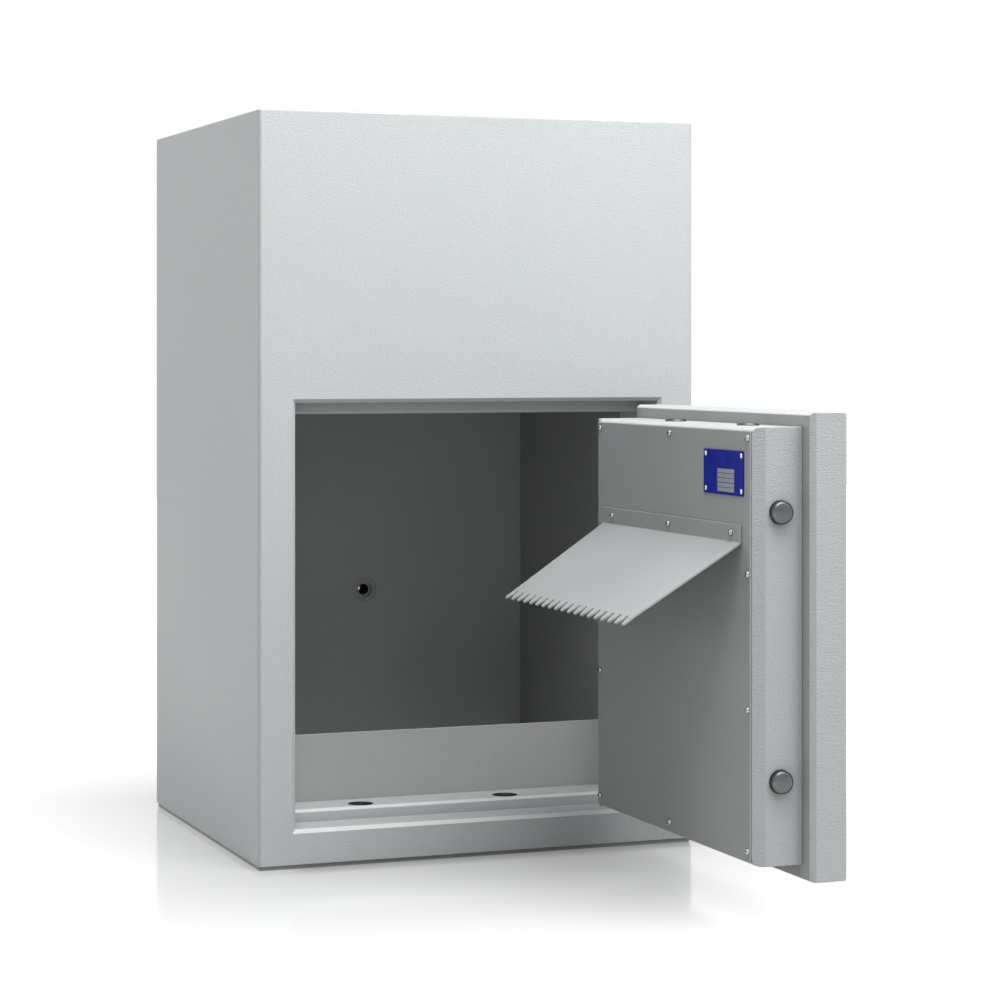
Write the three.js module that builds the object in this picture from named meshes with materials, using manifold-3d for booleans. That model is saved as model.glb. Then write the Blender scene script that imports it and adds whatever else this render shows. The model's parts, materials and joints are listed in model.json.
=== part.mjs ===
// Drop safe with a swing door, three-way boltwork and a deposit drawer at the rear.
// Millimetres, +Z up. The origin is the centre of the base, the door faces -Y.
// The door stands open at a right angle with its bolts drawn in.

import * as THREE from 'three';
import { mergeVertices } from 'three/addons/utils/BufferGeometryUtils.js';
import Module from 'manifold-3d';

const wasm = await Module();
wasm.setup();

// Clearances and counts
const seat = 0.3;
const overrun = 2;
const coarseSegments = 16;
const midSegments = 24;
const fineSegments = 36;
const drillSegments = 10;
const studSegments = 12;
const toothSegments = 5;
const slotSteps = 12;
const pullSteps = 24;
const pullSides = 12;
const cornerSegments = 4;

// Body
const bodyWidth = 500;
const bodyDepth = 450;
const bodyHeight = 800;
const shellSheet = 3;
const frontSheet = 4;
const shellRadius = 4.5;
const shellTopBevel = 2;
const baseHeight = 4;
const baseInset = 2;
const sideWall = 46;
const backWall = 40;
const floorWall = 48;
const topWall = 44;
const linerSheet = 2;

// Door opening and the stepped frame behind the front sheet
const openingSide = 41;
const openingBottom = 41;
const openingHead = 7;
const rebateDepth = 46;
const strikeDepth = 50;
const strikeStep = 13;
const strikeBevel = 3;
const frameHead = 40;

// Sill plate and anchor holes
const sillHeight = 79;
const sillSheet = 2.5;
const anchorBore = 12;
const anchorRecess = 24;
const anchorRecessDepth = 5;
const anchorSleeveWall = 3;
const rearAnchorHeight = 255;
const baseAnchorBack = 60;

// Hinges
const hingeInset = 18;
const hingeOffset = 38;
const hingeBarrelRadius = 13;
const hingePinRadius = 6;
const hingeKnuckle = 38;
const hingeLegWidth = 20;
const hingeCapHeight = 4;
const hingeFootInset = 38.5;
const hingeHeadInset = 114.5;
const leafThickness = 10;
const leafLength = 62;
const leafRise = 8;

// Door slab
const slabThickness = 38;
const slabRecess = 2;
const slabFootGap = 4;
const slabHeadGap = 3;
const slabHingeGap = 3;
const slabLockGap = 5;
const slabRadius = 4;
const slabChamfer = 5;

// Boltwork box and its cover
const boxDepth = 50;
const boxSheet = 3;
const boxHingeInset = 14;
const boxLockInset = 18;
const boxFootInset = 15;
const boxHeadInset = 14;
const boxChamfer = 7;
const boxChamferDepth = 11;
const boxBend = 6;
const boxEndRadius = 2;
const bendSteps = 3;
const coverSheet = 2;
const coverHingeEdge = 4;
const boxRim = 12;

// Locking bolts, their bars and the cam
const boltRadius = 11;
const boltChamfer = 2;
const boltDepth = 24;
const boltThrow = 14;
const sideBoltRest = 8;
const endBoltRest = 3;
const boltLength = 40;
const boltHoleRadius = 14;
const boltHoleDepth = 17;
const sideBoltInset = 94.5;
const endBoltFirst = 87;
const endBoltSpacing = 168;
const barThickness = 8;
const sideBarWidth = 30;
const endBarHeight = 40;
const endBarMargin = 12;
const camDistance = 144;
const camRadius = 54;
const camThickness = 6;
const camLift = 9;
const carrierSheet = 3;
const camTurn = 60;
const camPinOrbit = 26;
const camPinRadius = 5;
const camArmWidth = 26;
const camHubRadius = 13;
const stanchionRadius = 4;
const stanchionCollar = 7;
const stanchionCap = 4;
const runningGap = 0.4;
const slotEase = 0.1;
const pinReach = 1;
const armEnd = 7;
const barGap = 1.5;
const guideInset = 49;
const guideNear = 34;
const guideFar = 68;

// Key lock, its bolt, the handle and the key plate
const lockWidth = 74;
const lockHeight = 92;
const lockDepth = 28;
const lockBoltWidth = 24;
const lockBoltThickness = 9;
const lockBoltTravel = 10;
const lockBoltLength = 30;
const lockWall = 3;
const lockBoltGap = 0.8;
const spindleRadius = 8;
const rosetteRadius = 27;
const rosetteHeight = 5;
const handleHubRadius = 19;
const handleHubLength = 26;
const handleLever = 112;
const handleLeverWidth = 22;
const handleLeverDepth = 12;
const handleTipRadius = 11;
const handleCap = 8;
const leverBevel = 2;
const spindleTail = 4;
const keyPlateRadius = 17;
const keyPlateHeight = 3;
const keyholeRadius = 4;
const keyholeSlot = 3.4;
const keyholeLength = 11;
const keyCoverRadius = 11;
const keyCoverThickness = 2.5;
const keyPivotRadius = 2.5;
const keyPivotRise = 11;

// Saw-tooth baffle on the cover
const baffleSheet = 2.5;
const baffleFlange = 17;
const baffleHeadDrop = 124;
const baffleSlope = 34;
const baffleReach = 112;
const baffleHingeEdge = 37;
const baffleLockEdge = 42;
const toothPitch = 15.5;
const toothLength = 11.5;
const toothTip = 3.4;
const toothGap = 1.6;
const swingGap = 1.5;

// Blank plate on the cover
const plateWidth = 88;
const plateHeight = 43;
const plateSheet = 1;
const plateLockEdge = 37;
const plateHeadDrop = 37;
const plateRadius = 2;

// Deposit drawer, its chamber and runners
const shelfThickness = 45;
const chamberHeight = 208.4;
const drawerSideRoom = 34;
const drawerHeadRoom = 47.4;
const drawerSheet = 3;
const drawerFloorGap = 3;
const drawerBay = 125;
const drawerSlopeTop = 92;
const drawerPlate = 10;
const drawerOverlap = 14;
const drawerPlateBevel = 2;
const stripDepth = 8;
const stripHeight = 13;
const stripRise = 76;
const collarGap = 1.5;
const collarSheet = 2;
const runnerSheet = 3;
const runnerFoot = 16;
const runnerEnd = 60;
const dropSideRoom = 46;
const dropLength = 118;
const pullSpan = 128;
const pullReach = 34;
const pullRadius = 6;
const pullBend = 14;
const pullFootRadius = 10;
const pullFootHeight = 3;

// Places worked out from the sizes above
const halfWidth = bodyWidth / 2;
const frontY = -bodyDepth / 2;
const rearY = bodyDepth / 2;
const frameY = frontY + frontSheet + seat;
const strikeY = frontY + rebateDepth;
const strikeRearY = strikeY + strikeDepth;
const innerHalf = halfWidth - sideWall;
const shellInnerHalf = halfWidth - shellSheet;
const shellInnerRearY = rearY - shellSheet;
const shellInnerTop = bodyHeight - shellSheet;
const chamberTop = bodyHeight - topWall;
const chamberBottom = chamberTop - chamberHeight;
const shelfTop = chamberBottom - linerSheet - seat;
const shelfBottom = shelfTop - shelfThickness;
const compartmentTop = shelfBottom - seat - linerSheet;
const openingWidth = bodyWidth - 2 * openingSide;
const openingTop = compartmentTop - openingHead;
const frameHalf = shellInnerHalf - seat;
const frameBottom = baseHeight + seat;
const frameTop = openingTop + frameHead;
const innerRearY = rearY - backWall;
const linerFrontY = strikeRearY + seat;
const chamberFrontY = linerFrontY + linerSheet;
const drawerHalf = innerHalf - drawerSideRoom;
const drawerBottom = chamberBottom + drawerFloorGap;
const drawerTop = chamberTop - drawerHeadRoom;
const dropHalf = innerHalf - dropSideRoom;
const drawerFrontY = chamberFrontY + collarGap;
const drawerRearY = rearY + seat;
const dropFrontY = drawerFrontY + drawerSheet;
const dropRearY = dropFrontY + dropLength;
const slopeFrontY = dropFrontY + drawerBay;
const collarHalf = drawerHalf + stripDepth + collarGap;
const collarBottom = chamberBottom + seat;
const collarTop = drawerTop + collarGap;
const hingeX = halfWidth - hingeInset;
const hingeY = frontY - hingeOffset;

// Door places are measured from the hinge axis with the door shut
const slabFrontY = hingeOffset + slabRecess;
const slabRearY = slabFrontY + slabThickness;
const slabHingeX = openingWidth / 2 - slabHingeGap - hingeX;
const slabLockX = slabLockGap - openingWidth / 2 - hingeX;
const slabBottom = openingBottom + slabFootGap;
const slabTop = openingTop - slabHeadGap;
const boxHingeX = slabHingeX - boxHingeInset;
const boxLockX = slabLockX + boxLockInset;
const boxBottom = slabBottom + boxFootInset;
const boxTop = slabTop - boxHeadInset;
const boxFrontY = slabRearY + seat;
const boxRearY = boxFrontY + boxDepth;
const coverRearY = boxRearY + coverSheet;
const boltY = slabRearY + boltDepth;
const carrierRearY = slabRearY + seat + carrierSheet;
const barFrontY = boltY - barThickness / 2;
const barRearY = boltY + barThickness / 2;
const camX = slabLockX + camDistance;
const camZ = (slabBottom + slabTop) / 2;
const camFrontY = slabRearY + camLift;
const camRearY = camFrontY + camThickness;
const sideBarX = boxLockX - sideBoltRest + boltLength + seat;
const topBoltEnd = boxTop + endBoltRest;
const bottomBoltEnd = boxBottom - endBoltRest;
const topBarTop = topBoltEnd - boltLength - seat;
const bottomBarBottom = bottomBoltEnd + boltLength + seat;
const endBoltXs = [slabLockX + endBoltFirst, slabLockX + endBoltFirst + endBoltSpacing];
const sideBoltZs = [slabBottom + sideBoltInset, slabTop - sideBoltInset];
const camTurnAngle = THREE.MathUtils.degToRad(camTurn);
const lockX = camX + camRadius + runningGap + lockWall;
const keyX = lockX + lockWidth / 2;
const keyZ = camZ - lockHeight / 4;
const rosetteFrontY = slabFrontY - seat - rosetteHeight;
const baffleAngle = THREE.MathUtils.degToRad(baffleSlope);
const baffleLength = baffleReach / Math.cos(baffleAngle);
const baffleY = coverRearY + seat;
const baffleBendZ = slabTop - baffleHeadDrop;
const baffleHingeX = slabHingeX - baffleHingeEdge;
const baffleLockX = slabLockX + baffleLockEdge;

// The comb's free corner swings just inside the lock-side edge of the opening
const swingReach = Math.hypot(openingWidth / 2 + hingeX, hingeOffset + frontSheet) - swingGap;
const baffleRootY = baffleY + baffleSheet + (baffleLength - toothLength) * Math.cos(baffleAngle);
const baffleRootX = -Math.sqrt(swingReach ** 2 - baffleRootY ** 2);
const baffleTeeth = Math.floor((baffleHingeX - baffleRootX) / toothPitch);

// Finishes
const paintGrey = 0xc9cdce;
const paintInner = 0xb9bdbf;
const steelBright = 0xb8bbbd;
const steelDark = 0x6b6f73;
const brassTone = 0xb08a45;
const plateBlue = 0x1a2a8c;
const concreteGrey = 0x9a9890;
const polymerBlack = 0x1d1e20;

function finish(colour, roughness, metalness) {
  return new THREE.MeshStandardMaterial({ color: colour, roughness, metalness });
}

function paint() {
  return finish(paintGrey, 0.55, 0.0);
}

function innerPaint() {
  return finish(paintInner, 0.6, 0.0);
}

function bareSteel() {
  return finish(steelBright, 0.3, 1.0);
}

function darkSteel() {
  return finish(steelDark, 0.45, 1.0);
}

function concrete() {
  return finish(concreteGrey, 0.95, 0.0);
}

function polymer() {
  return finish(polymerBlack, 0.5, 0.0);
}

// Closed mesh to solid, for cuts and joins
function solidOf(geometry) {
  const bare = geometry.clone();
  bare.deleteAttribute('normal');
  bare.deleteAttribute('uv');
  const merged = mergeVertices(bare);
  const vertProperties = new Float32Array(merged.attributes.position.array);
  const triVerts = new Uint32Array(merged.index.array);
  return new wasm.Manifold(new wasm.Mesh({ numProp: 3, vertProperties, triVerts }));
}

function geometryOf(solid) {
  const mesh = solid.getMesh();
  const geometry = new THREE.BufferGeometry();
  geometry.setAttribute('position', new THREE.BufferAttribute(mesh.vertProperties, 3));
  geometry.setIndex(new THREE.BufferAttribute(mesh.triVerts, 1));
  const flat = geometry.toNonIndexed();
  flat.computeVertexNormals();
  return flat;
}

function cut(geometry, cutters) {
  const body = solidOf(geometry);
  return geometryOf(cutters.reduce((rest, cutter) => rest.subtract(solidOf(cutter)), body));
}

function join(geometries) {
  const solids = geometries.map(solidOf);
  return geometryOf(solids.reduce((whole, next) => whole.add(next)));
}

// Block between two opposite corners
function block(low, high) {
  const size = high.map((value, axis) => value - low[axis]);
  const geometry = new THREE.BoxGeometry(...size);
  return geometry.translate(...low.map((value, axis) => value + size[axis] / 2));
}

function outline(points) {
  return new THREE.Shape(points.map(([across, up]) => new THREE.Vector2(across, up)));
}

function roundedRectangle(left, right, bottom, top, radius) {
  const shape = new THREE.Shape();
  shape.absarc(right - radius, bottom + radius, radius, -Math.PI / 2, 0);
  shape.absarc(right - radius, top - radius, radius, 0, Math.PI / 2);
  shape.absarc(left + radius, top - radius, radius, Math.PI / 2, Math.PI);
  shape.absarc(left + radius, bottom + radius, radius, Math.PI, 1.5 * Math.PI);
  return shape;
}

function extrude(shape, depth, options = {}) {
  return new THREE.ExtrudeGeometry(shape, {
    depth,
    bevelEnabled: false,
    curveSegments: cornerSegments,
    ...options,
  });
}

// Outline in X and Y, raised along Z
function prismZ(shape, low, high, options) {
  return extrude(shape, high - low, options).translate(0, 0, low);
}

// Outline in X and Z, carried along Y
function prismY(shape, low, high, options) {
  return extrude(shape, high - low, options).rotateX(Math.PI / 2).translate(0, high, 0);
}

// Outline in Y and Z, carried along X
function prismX(shape, low, high, options) {
  const turn = new THREE.Matrix4().makeBasis(
    new THREE.Vector3(0, 1, 0),
    new THREE.Vector3(0, 0, 1),
    new THREE.Vector3(1, 0, 0),
  );
  return extrude(shape, high - low, options).applyMatrix4(turn).translate(low, 0, 0);
}

// Turned piece: pairs of radius and height that start and end on the axis
function turned(profile, segments) {
  const points = profile.map(([radius, height]) => new THREE.Vector2(radius, height));
  return new THREE.LatheGeometry(points, segments);
}

function turnedZ(profile, segments) {
  return turned(profile, segments).rotateX(Math.PI / 2);
}

function turnedX(profile, segments) {
  return turned(profile, segments).rotateZ(-Math.PI / 2);
}

// Rod profile with both rims chamfered
function rodProfile(radius, low, high, chamfer) {
  return [
    [0, low],
    [radius - chamfer, low],
    [radius, low + chamfer],
    [radius, high - chamfer],
    [radius - chamfer, high],
    [0, high],
  ];
}

function plainRod(radius, low, high) {
  return [[0, low], [radius, low], [radius, high], [0, high]];
}

// Window cutter along Y whose front rim flares out by the bevel
function windowCutter(half, bottom, top, low, high, bevel) {
  const shape = outline([[-half, bottom], [half, bottom], [half, top], [-half, top]]);
  const through = prismY(shape, low, high);
  if (bevel === 0) return [through];
  const flare = extrude(shape, overrun, {
    bevelEnabled: true,
    bevelThickness: bevel,
    bevelSize: bevel,
    bevelSegments: 1,
  });
  return [through, flare.rotateX(Math.PI / 2).translate(0, low, 0)];
}

const safe = new THREE.Group();
safe.name = 'drop_safe';

function addMesh(parent, name, geometry, material) {
  const mesh = new THREE.Mesh(geometry, material);
  mesh.name = name;
  parent.add(mesh);
  return mesh;
}

// Body

function drawerWindow(low, high, clearance) {
  const half = collarHalf + collarSheet + clearance;
  const bottom = collarBottom - clearance;
  const top = collarTop + collarSheet + clearance;
  return windowCutter(half, bottom, top, low, high, 0)[0];
}

function rearAnchorCutter(radius) {
  const rod = turned(plainRod(radius, innerRearY - overrun, rearY + overrun), midSegments);
  return rod.translate(0, 0, rearAnchorHeight);
}

function baseAnchorCutter(radius) {
  const rod = turnedZ(plainRod(radius, -overrun, floorWall + overrun), midSegments);
  return rod.translate(0, baseAnchorBack, 0);
}

const sleeveRadius = anchorRecess / 2 + anchorSleeveWall;

function basePlate() {
  const half = halfWidth - baseInset;
  const depthHalf = bodyDepth / 2 - baseInset;
  const shape = roundedRectangle(-half, half, -depthHalf, depthHalf, shellRadius - baseInset);
  const plate = prismZ(shape, 0, baseHeight);
  return cut(plate, [baseAnchorCutter(anchorBore / 2)]);
}

function outerShell() {
  const bevel = shellTopBevel;
  const half = halfWidth - bevel;
  const depthHalf = bodyDepth / 2 - bevel;
  const shape = roundedRectangle(-half, half, -depthHalf, depthHalf, shellRadius - bevel);
  const blank = prismZ(shape, baseHeight, bodyHeight - bevel, {
    bevelEnabled: true,
    bevelThickness: bevel,
    bevelSize: bevel,
    bevelSegments: 2,
  });
  const below = block(
    [-bodyWidth, -bodyDepth, -overrun],
    [bodyWidth, bodyDepth, baseHeight + seat],
  );
  const hollow = block(
    [-shellInnerHalf, frontY + frontSheet, -overrun],
    [shellInnerHalf, shellInnerRearY, shellInnerTop],
  );
  const [through, flare] = windowCutter(
    openingWidth / 2, openingBottom, openingTop, frontY - overrun, frameY + overrun, frontSheet,
  );
  flare.translate(0, overrun, 0);
  return cut(blank, [
    below,
    hollow,
    through,
    flare,
    drawerWindow(shellInnerRearY - overrun, rearY + overrun, seat),
    rearAnchorCutter(anchorBore / 2),
  ]);
}

// Front steel frame: its window is the first ledge round the slab
function doorFrame() {
  const high = strikeY - seat;
  const blank = block([-frameHalf, frameY, frameBottom], [frameHalf, high, frameTop]);
  const start = frameY - overrun;
  const end = high + overrun;
  return cut(blank, windowCutter(openingWidth / 2, openingBottom, openingTop, start, end, 0));
}

const strikeFoot = openingBottom + strikeStep;
const strikeHead = openingTop - strikeStep;
const strikeFootLow = strikeFoot - boltHoleDepth;
const strikeHeadHigh = strikeHead + boltHoleDepth;
const strikeSideLow = -innerHalf - boltHoleDepth;

// Bevel round the front rim of the second ledge
function strikeRim() {
  const start = strikeY - overrun;
  const end = strikeRearY + overrun;
  const rim = windowCutter(innerHalf, strikeFoot, strikeHead, start, end, strikeBevel)[1];
  return rim.translate(0, overrun, 0);
}

// Second ledge: a plain ring that the drilled strike plates are let into
function strikeFrame() {
  const ring = block([-frameHalf, strikeY, frameBottom], [frameHalf, strikeRearY, frameTop]);
  const pocket = block(
    [strikeSideLow - seat, strikeY - overrun, strikeFootLow - seat],
    [innerHalf, strikeRearY + overrun, strikeHeadHigh + seat],
  );
  return cut(ring, [pocket, strikeRim()]);
}

// Foot or head plate, drilled for the end bolts
function endStrikePlate(low, high) {
  const plate = block([strikeSideLow, strikeY, low], [innerHalf - seat, strikeRearY, high]);
  const drills = endBoltXs.map((boltX) => {
    const drill = turnedZ(plainRod(boltHoleRadius, low - overrun, high + overrun), midSegments);
    return drill.translate(boltX + hingeX, boltY + hingeY, 0);
  });
  return cut(plate, [strikeRim(), ...drills]);
}

function sideStrikePlate() {
  const plate = block(
    [strikeSideLow, strikeY, strikeFoot + seat],
    [-innerHalf, strikeRearY, strikeHead - seat],
  );
  const profile = plainRod(boltHoleRadius, strikeSideLow - overrun, overrun - innerHalf);
  const drills = sideBoltZs.map((boltZ) => {
    return turnedX(profile, midSegments).translate(0, boltY + hingeY, boltZ);
  });
  return cut(plate, [strikeRim(), ...drills]);
}

function sillPlate() {
  const half = innerHalf - seat;
  const low = linerFrontY + seat;
  return block(
    [-half, low, floorWall + seat],
    [half, low + sillSheet, floorWall + sillHeight],
  );
}

function dropCutter(low, high, clearance) {
  const half = dropHalf + linerSheet + clearance;
  return block(
    [-half, dropFrontY - linerSheet - clearance, low],
    [half, dropRearY + linerSheet + clearance, high],
  );
}

// Folded lining of the cash compartment, open towards the door
function compartmentLiner() {
  const outer = block(
    [-innerHalf - linerSheet, linerFrontY, floorWall - linerSheet],
    [innerHalf + linerSheet, innerRearY + linerSheet, compartmentTop + linerSheet],
  );
  const inner = block(
    [-innerHalf, linerFrontY - overrun, floorWall],
    [innerHalf, innerRearY, compartmentTop],
  );
  return cut(outer, [
    inner,
    dropCutter(compartmentTop - overrun, compartmentTop + linerSheet + overrun, seat),
    rearAnchorCutter(sleeveRadius + seat),
    baseAnchorCutter(sleeveRadius + seat),
  ]);
}

// Lining of the drawer chamber, open to the rear window and the drop
function chamberLiner() {
  const outer = block(
    [-innerHalf - linerSheet, linerFrontY, chamberBottom - linerSheet],
    [innerHalf + linerSheet, innerRearY + linerSheet, chamberTop + linerSheet],
  );
  const inner = block(
    [-innerHalf, linerFrontY + linerSheet, chamberBottom],
    [innerHalf, innerRearY, chamberTop],
  );
  return cut(outer, [
    inner,
    dropCutter(chamberBottom - linerSheet - overrun, chamberBottom + overrun, seat),
    drawerWindow(innerRearY - overrun, innerRearY + linerSheet + overrun, seat),
  ]);
}

function dropChute() {
  const outer = dropCutter(compartmentTop, chamberBottom, 0);
  const inner = block(
    [-dropHalf, dropFrontY, compartmentTop - overrun],
    [dropHalf, dropRearY, chamberBottom + overrun],
  );
  return cut(outer, [inner]);
}

function drawerCollar() {
  const outer = drawerWindow(innerRearY, rearY, 0);
  const inner = windowCutter(
    collarHalf, collarBottom + collarSheet, collarTop, innerRearY - overrun, rearY + overrun, 0,
  );
  return cut(outer, inner);
}

const fillHalf = shellInnerHalf - seat;
const fillInnerHalf = innerHalf + linerSheet + seat;
const fillRearY = shellInnerRearY - seat;
const fillInnerRearY = innerRearY + linerSheet + seat;
const fillTop = shellInnerTop - seat;
const fillBottom = baseHeight + seat;
const fillFrontY = strikeRearY + seat;

function sideFill(sign) {
  const near = sign * fillInnerHalf;
  const far = sign * fillHalf;
  return block(
    [Math.min(near, far), fillFrontY, fillBottom],
    [Math.max(near, far), fillRearY, fillTop],
  );
}

function floorFill() {
  const half = fillInnerHalf - seat;
  const top = floorWall - linerSheet - seat;
  const slab = block([-half, fillFrontY, fillBottom], [half, fillRearY, top]);
  return cut(slab, [baseAnchorCutter(sleeveRadius + seat)]);
}

function topFill() {
  const half = fillInnerHalf - seat;
  return block([-half, fillFrontY, chamberTop + linerSheet + seat], [half, fillRearY, fillTop]);
}

function backFill() {
  const half = fillInnerHalf - seat;
  const slab = block(
    [-half, fillInnerRearY, floorWall - linerSheet],
    [half, fillRearY, chamberTop + linerSheet],
  );
  return cut(slab, [
    drawerWindow(fillInnerRearY - overrun, fillRearY + overrun, seat),
    rearAnchorCutter(sleeveRadius + seat),
  ]);
}

// Wall above the door, in front of the drawer chamber
function frontFill() {
  return block([-fillHalf, frameY, frameTop + seat], [fillHalf, strikeRearY, fillTop]);
}

function shelfFill() {
  const half = fillInnerHalf - seat;
  const slab = block([-half, fillFrontY, shelfBottom], [half, fillInnerRearY - seat, shelfTop]);
  return cut(slab, [dropCutter(shelfBottom - overrun, shelfTop + overrun, seat)]);
}

function anchorSleeveProfile(length) {
  const bore = anchorBore / 2;
  const recess = anchorRecess / 2;
  return [
    [bore, 0],
    [sleeveRadius, 0],
    [sleeveRadius, length],
    [recess, length],
    [recess, length - anchorRecessDepth],
    [bore, length - anchorRecessDepth],
    [bore, 0],
  ];
}

function rearAnchorSleeve() {
  const length = backWall - shellSheet - seat;
  const sleeve = turned(anchorSleeveProfile(length), midSegments).rotateX(Math.PI);
  return sleeve.translate(0, innerRearY + length, rearAnchorHeight);
}

function baseAnchorSleeve() {
  const length = floorWall - baseHeight - seat;
  const sleeve = turnedZ(anchorSleeveProfile(length), midSegments);
  return sleeve.translate(0, baseAnchorBack, baseHeight + seat);
}

addMesh(safe, 'base_plate', basePlate(), darkSteel());
addMesh(safe, 'outer_shell', outerShell(), paint());
addMesh(safe, 'door_frame', doorFrame(), paint());
addMesh(safe, 'strike_frame', strikeFrame(), paint());
addMesh(safe, 'strike_plate_foot', endStrikePlate(strikeFootLow, strikeFoot), paint());
addMesh(safe, 'strike_plate_head', endStrikePlate(strikeHead, strikeHeadHigh), paint());
addMesh(safe, 'strike_plate_side', sideStrikePlate(), paint());
addMesh(safe, 'sill_plate', sillPlate(), innerPaint());
addMesh(safe, 'compartment_liner', compartmentLiner(), innerPaint());
addMesh(safe, 'chamber_liner', chamberLiner(), innerPaint());
addMesh(safe, 'drop_chute', dropChute(), innerPaint());
addMesh(safe, 'drawer_collar', drawerCollar(), innerPaint());
addMesh(safe, 'fill_left', sideFill(-1), concrete());
addMesh(safe, 'fill_right', sideFill(1), concrete());
addMesh(safe, 'fill_floor', floorFill(), concrete());
addMesh(safe, 'fill_top', topFill(), concrete());
addMesh(safe, 'fill_back', backFill(), concrete());
addMesh(safe, 'fill_front', frontFill(), concrete());
addMesh(safe, 'fill_shelf', shelfFill(), concrete());
addMesh(safe, 'rear_anchor_sleeve', rearAnchorSleeve(), darkSteel());
addMesh(safe, 'base_anchor_sleeve', baseAnchorSleeve(), darkSteel());

// Hinges: the lower knuckle stands on the body, the upper one carries the door

const hingeBaseZs = [slabBottom + hingeFootInset, slabTop - hingeHeadInset];

function hingeBore(low, high) {
  return turnedZ(plainRod(hingePinRadius + seat, low - overrun, high + overrun), midSegments);
}

// Barrel and leg in one, on the front strip beside the door
function hingeBracket(low) {
  const high = low + hingeKnuckle;
  const barrel = turnedZ(rodProfile(hingeBarrelRadius, low, high, seat), midSegments);
  const half = hingeLegWidth / 2;
  const leg = block([-half, 0, low], [half, hingeOffset - seat, high]);
  return cut(join([barrel, leg]), [hingeBore(low, high)]).translate(hingeX, hingeY, 0);
}

// Pin with a collar on which the door knuckle turns, and a cap on top
function hingePin(low) {
  const middle = low + hingeKnuckle;
  const top = middle + seat + hingeKnuckle + seat;
  const shaft = hingePinRadius;
  const cap = hingeBarrelRadius - seat;
  const profile = [
    [0, low],
    [shaft, low],
    [shaft, top],
    [cap, top],
    [cap, top + hingeCapHeight / 2],
    [shaft, top + hingeCapHeight],
    [0, top + hingeCapHeight],
  ];
  return turnedZ(profile, midSegments).translate(hingeX, hingeY, 0);
}

hingeBaseZs.forEach((low, index) => {
  const place = index === 0 ? 'lower' : 'upper';
  addMesh(safe, `hinge_bracket_${place}`, hingeBracket(low), paint());
  addMesh(safe, `hinge_pin_${place}`, hingePin(low), bareSteel());
});

// Door

const door = new THREE.Group();
door.position.set(hingeX, hingeY, 0);
door.rotation.z = Math.PI / 2;
safe.add(door);

function hingeLeaf(low) {
  const bottom = low + hingeKnuckle + seat;
  const top = bottom + hingeKnuckle;
  const barrel = turnedZ(rodProfile(hingeBarrelRadius, bottom, top, seat), midSegments);
  const faceY = slabFrontY - seat;
  const bendX = slabHingeX - leafRise;
  const strap = outline([
    [bendX - leafLength, faceY - leafThickness],
    [bendX, faceY - leafThickness],
    [-hingeBarrelRadius + seat, 0],
    [0, 0],
    [0, hingeBarrelRadius - seat],
    [bendX, faceY],
    [bendX - leafLength, faceY],
  ]);
  return cut(join([barrel, prismZ(strap, bottom, top)]), [hingeBore(bottom, top)]);
}

function spindleCutter(low, high) {
  return turned(plainRod(spindleRadius + seat, low, high), midSegments).translate(camX, 0, camZ);
}

// Rounded outer edges, one chamfer where the free edge swings past the frame
function doorSlab() {
  const bevel = slabRadius;
  const shape = roundedRectangle(
    slabLockX + bevel, slabHingeX - bevel, slabBottom + bevel, slabTop - bevel, bevel / 2,
  );
  const blank = prismY(shape, slabFrontY + bevel, slabRearY + bevel, {
    bevelEnabled: true,
    bevelThickness: bevel,
    bevelSize: bevel,
    bevelSegments: 3,
  });
  const behind = block(
    [slabLockX - overrun, slabRearY, slabBottom - overrun],
    [slabHingeX + overrun, slabRearY + bodyDepth, slabTop + overrun],
  );
  const chamfer = outline([
    [slabLockX - overrun, slabRearY - slabChamfer - overrun],
    [slabLockX - overrun, slabRearY + overrun],
    [slabLockX + slabChamfer + overrun, slabRearY + overrun],
  ]);
  const keyway = keyhole(slabFrontY - overrun, slabRearY + overrun);
  return cut(blank, [
    behind,
    prismZ(chamfer, slabBottom - overrun, slabTop + overrun),
    spindleCutter(slabFrontY - overrun, slabRearY + overrun),
    keyway,
  ]);
}

// Folded box: bent at its head and foot, bevelled along the free side
function boxBlank(inset) {
  const low = boxBottom + inset;
  const high = boxTop - inset;
  const rear = boxRearY - inset;
  const bendY = rear - boxBend;
  const foot = [];
  const head = [];
  for (let step = 0; step <= bendSteps; step += 1) {
    const angle = (Math.PI / 2) * (step / bendSteps);
    const along = bendY + boxBend * Math.cos(angle);
    const rise = boxChamfer * (1 - Math.sin(angle));
    head.push([along, high - rise]);
    foot.unshift([along, low + rise]);
  }
  const start = boxFrontY - overrun;
  const section = outline([[start, high], [start, low], ...foot, ...head]);
  const folded = prismX(section, boxLockX + inset, boxHingeX - inset);
  const cornerX = boxLockX + inset;
  const cornerY = rear - boxChamferDepth;
  const bevel = outline([
    [cornerX - boxChamfer, cornerY - boxChamferDepth],
    [cornerX + 2 * boxChamfer, cornerY + 2 * boxChamferDepth],
    [cornerX - boxChamfer, cornerY + 2 * boxChamferDepth],
  ]);
  return cut(folded, [prismZ(bevel, low - overrun, high + overrun)]);
}

// Flat end of the box on the hinge side
function boxEnd() {
  const start = boxFrontY - overrun;
  const plate = roundedRectangle(start, boxRearY, boxBottom, boxTop, boxEndRadius);
  return prismX(plate, boxHingeX - boxSheet, boxHingeX);
}

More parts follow.
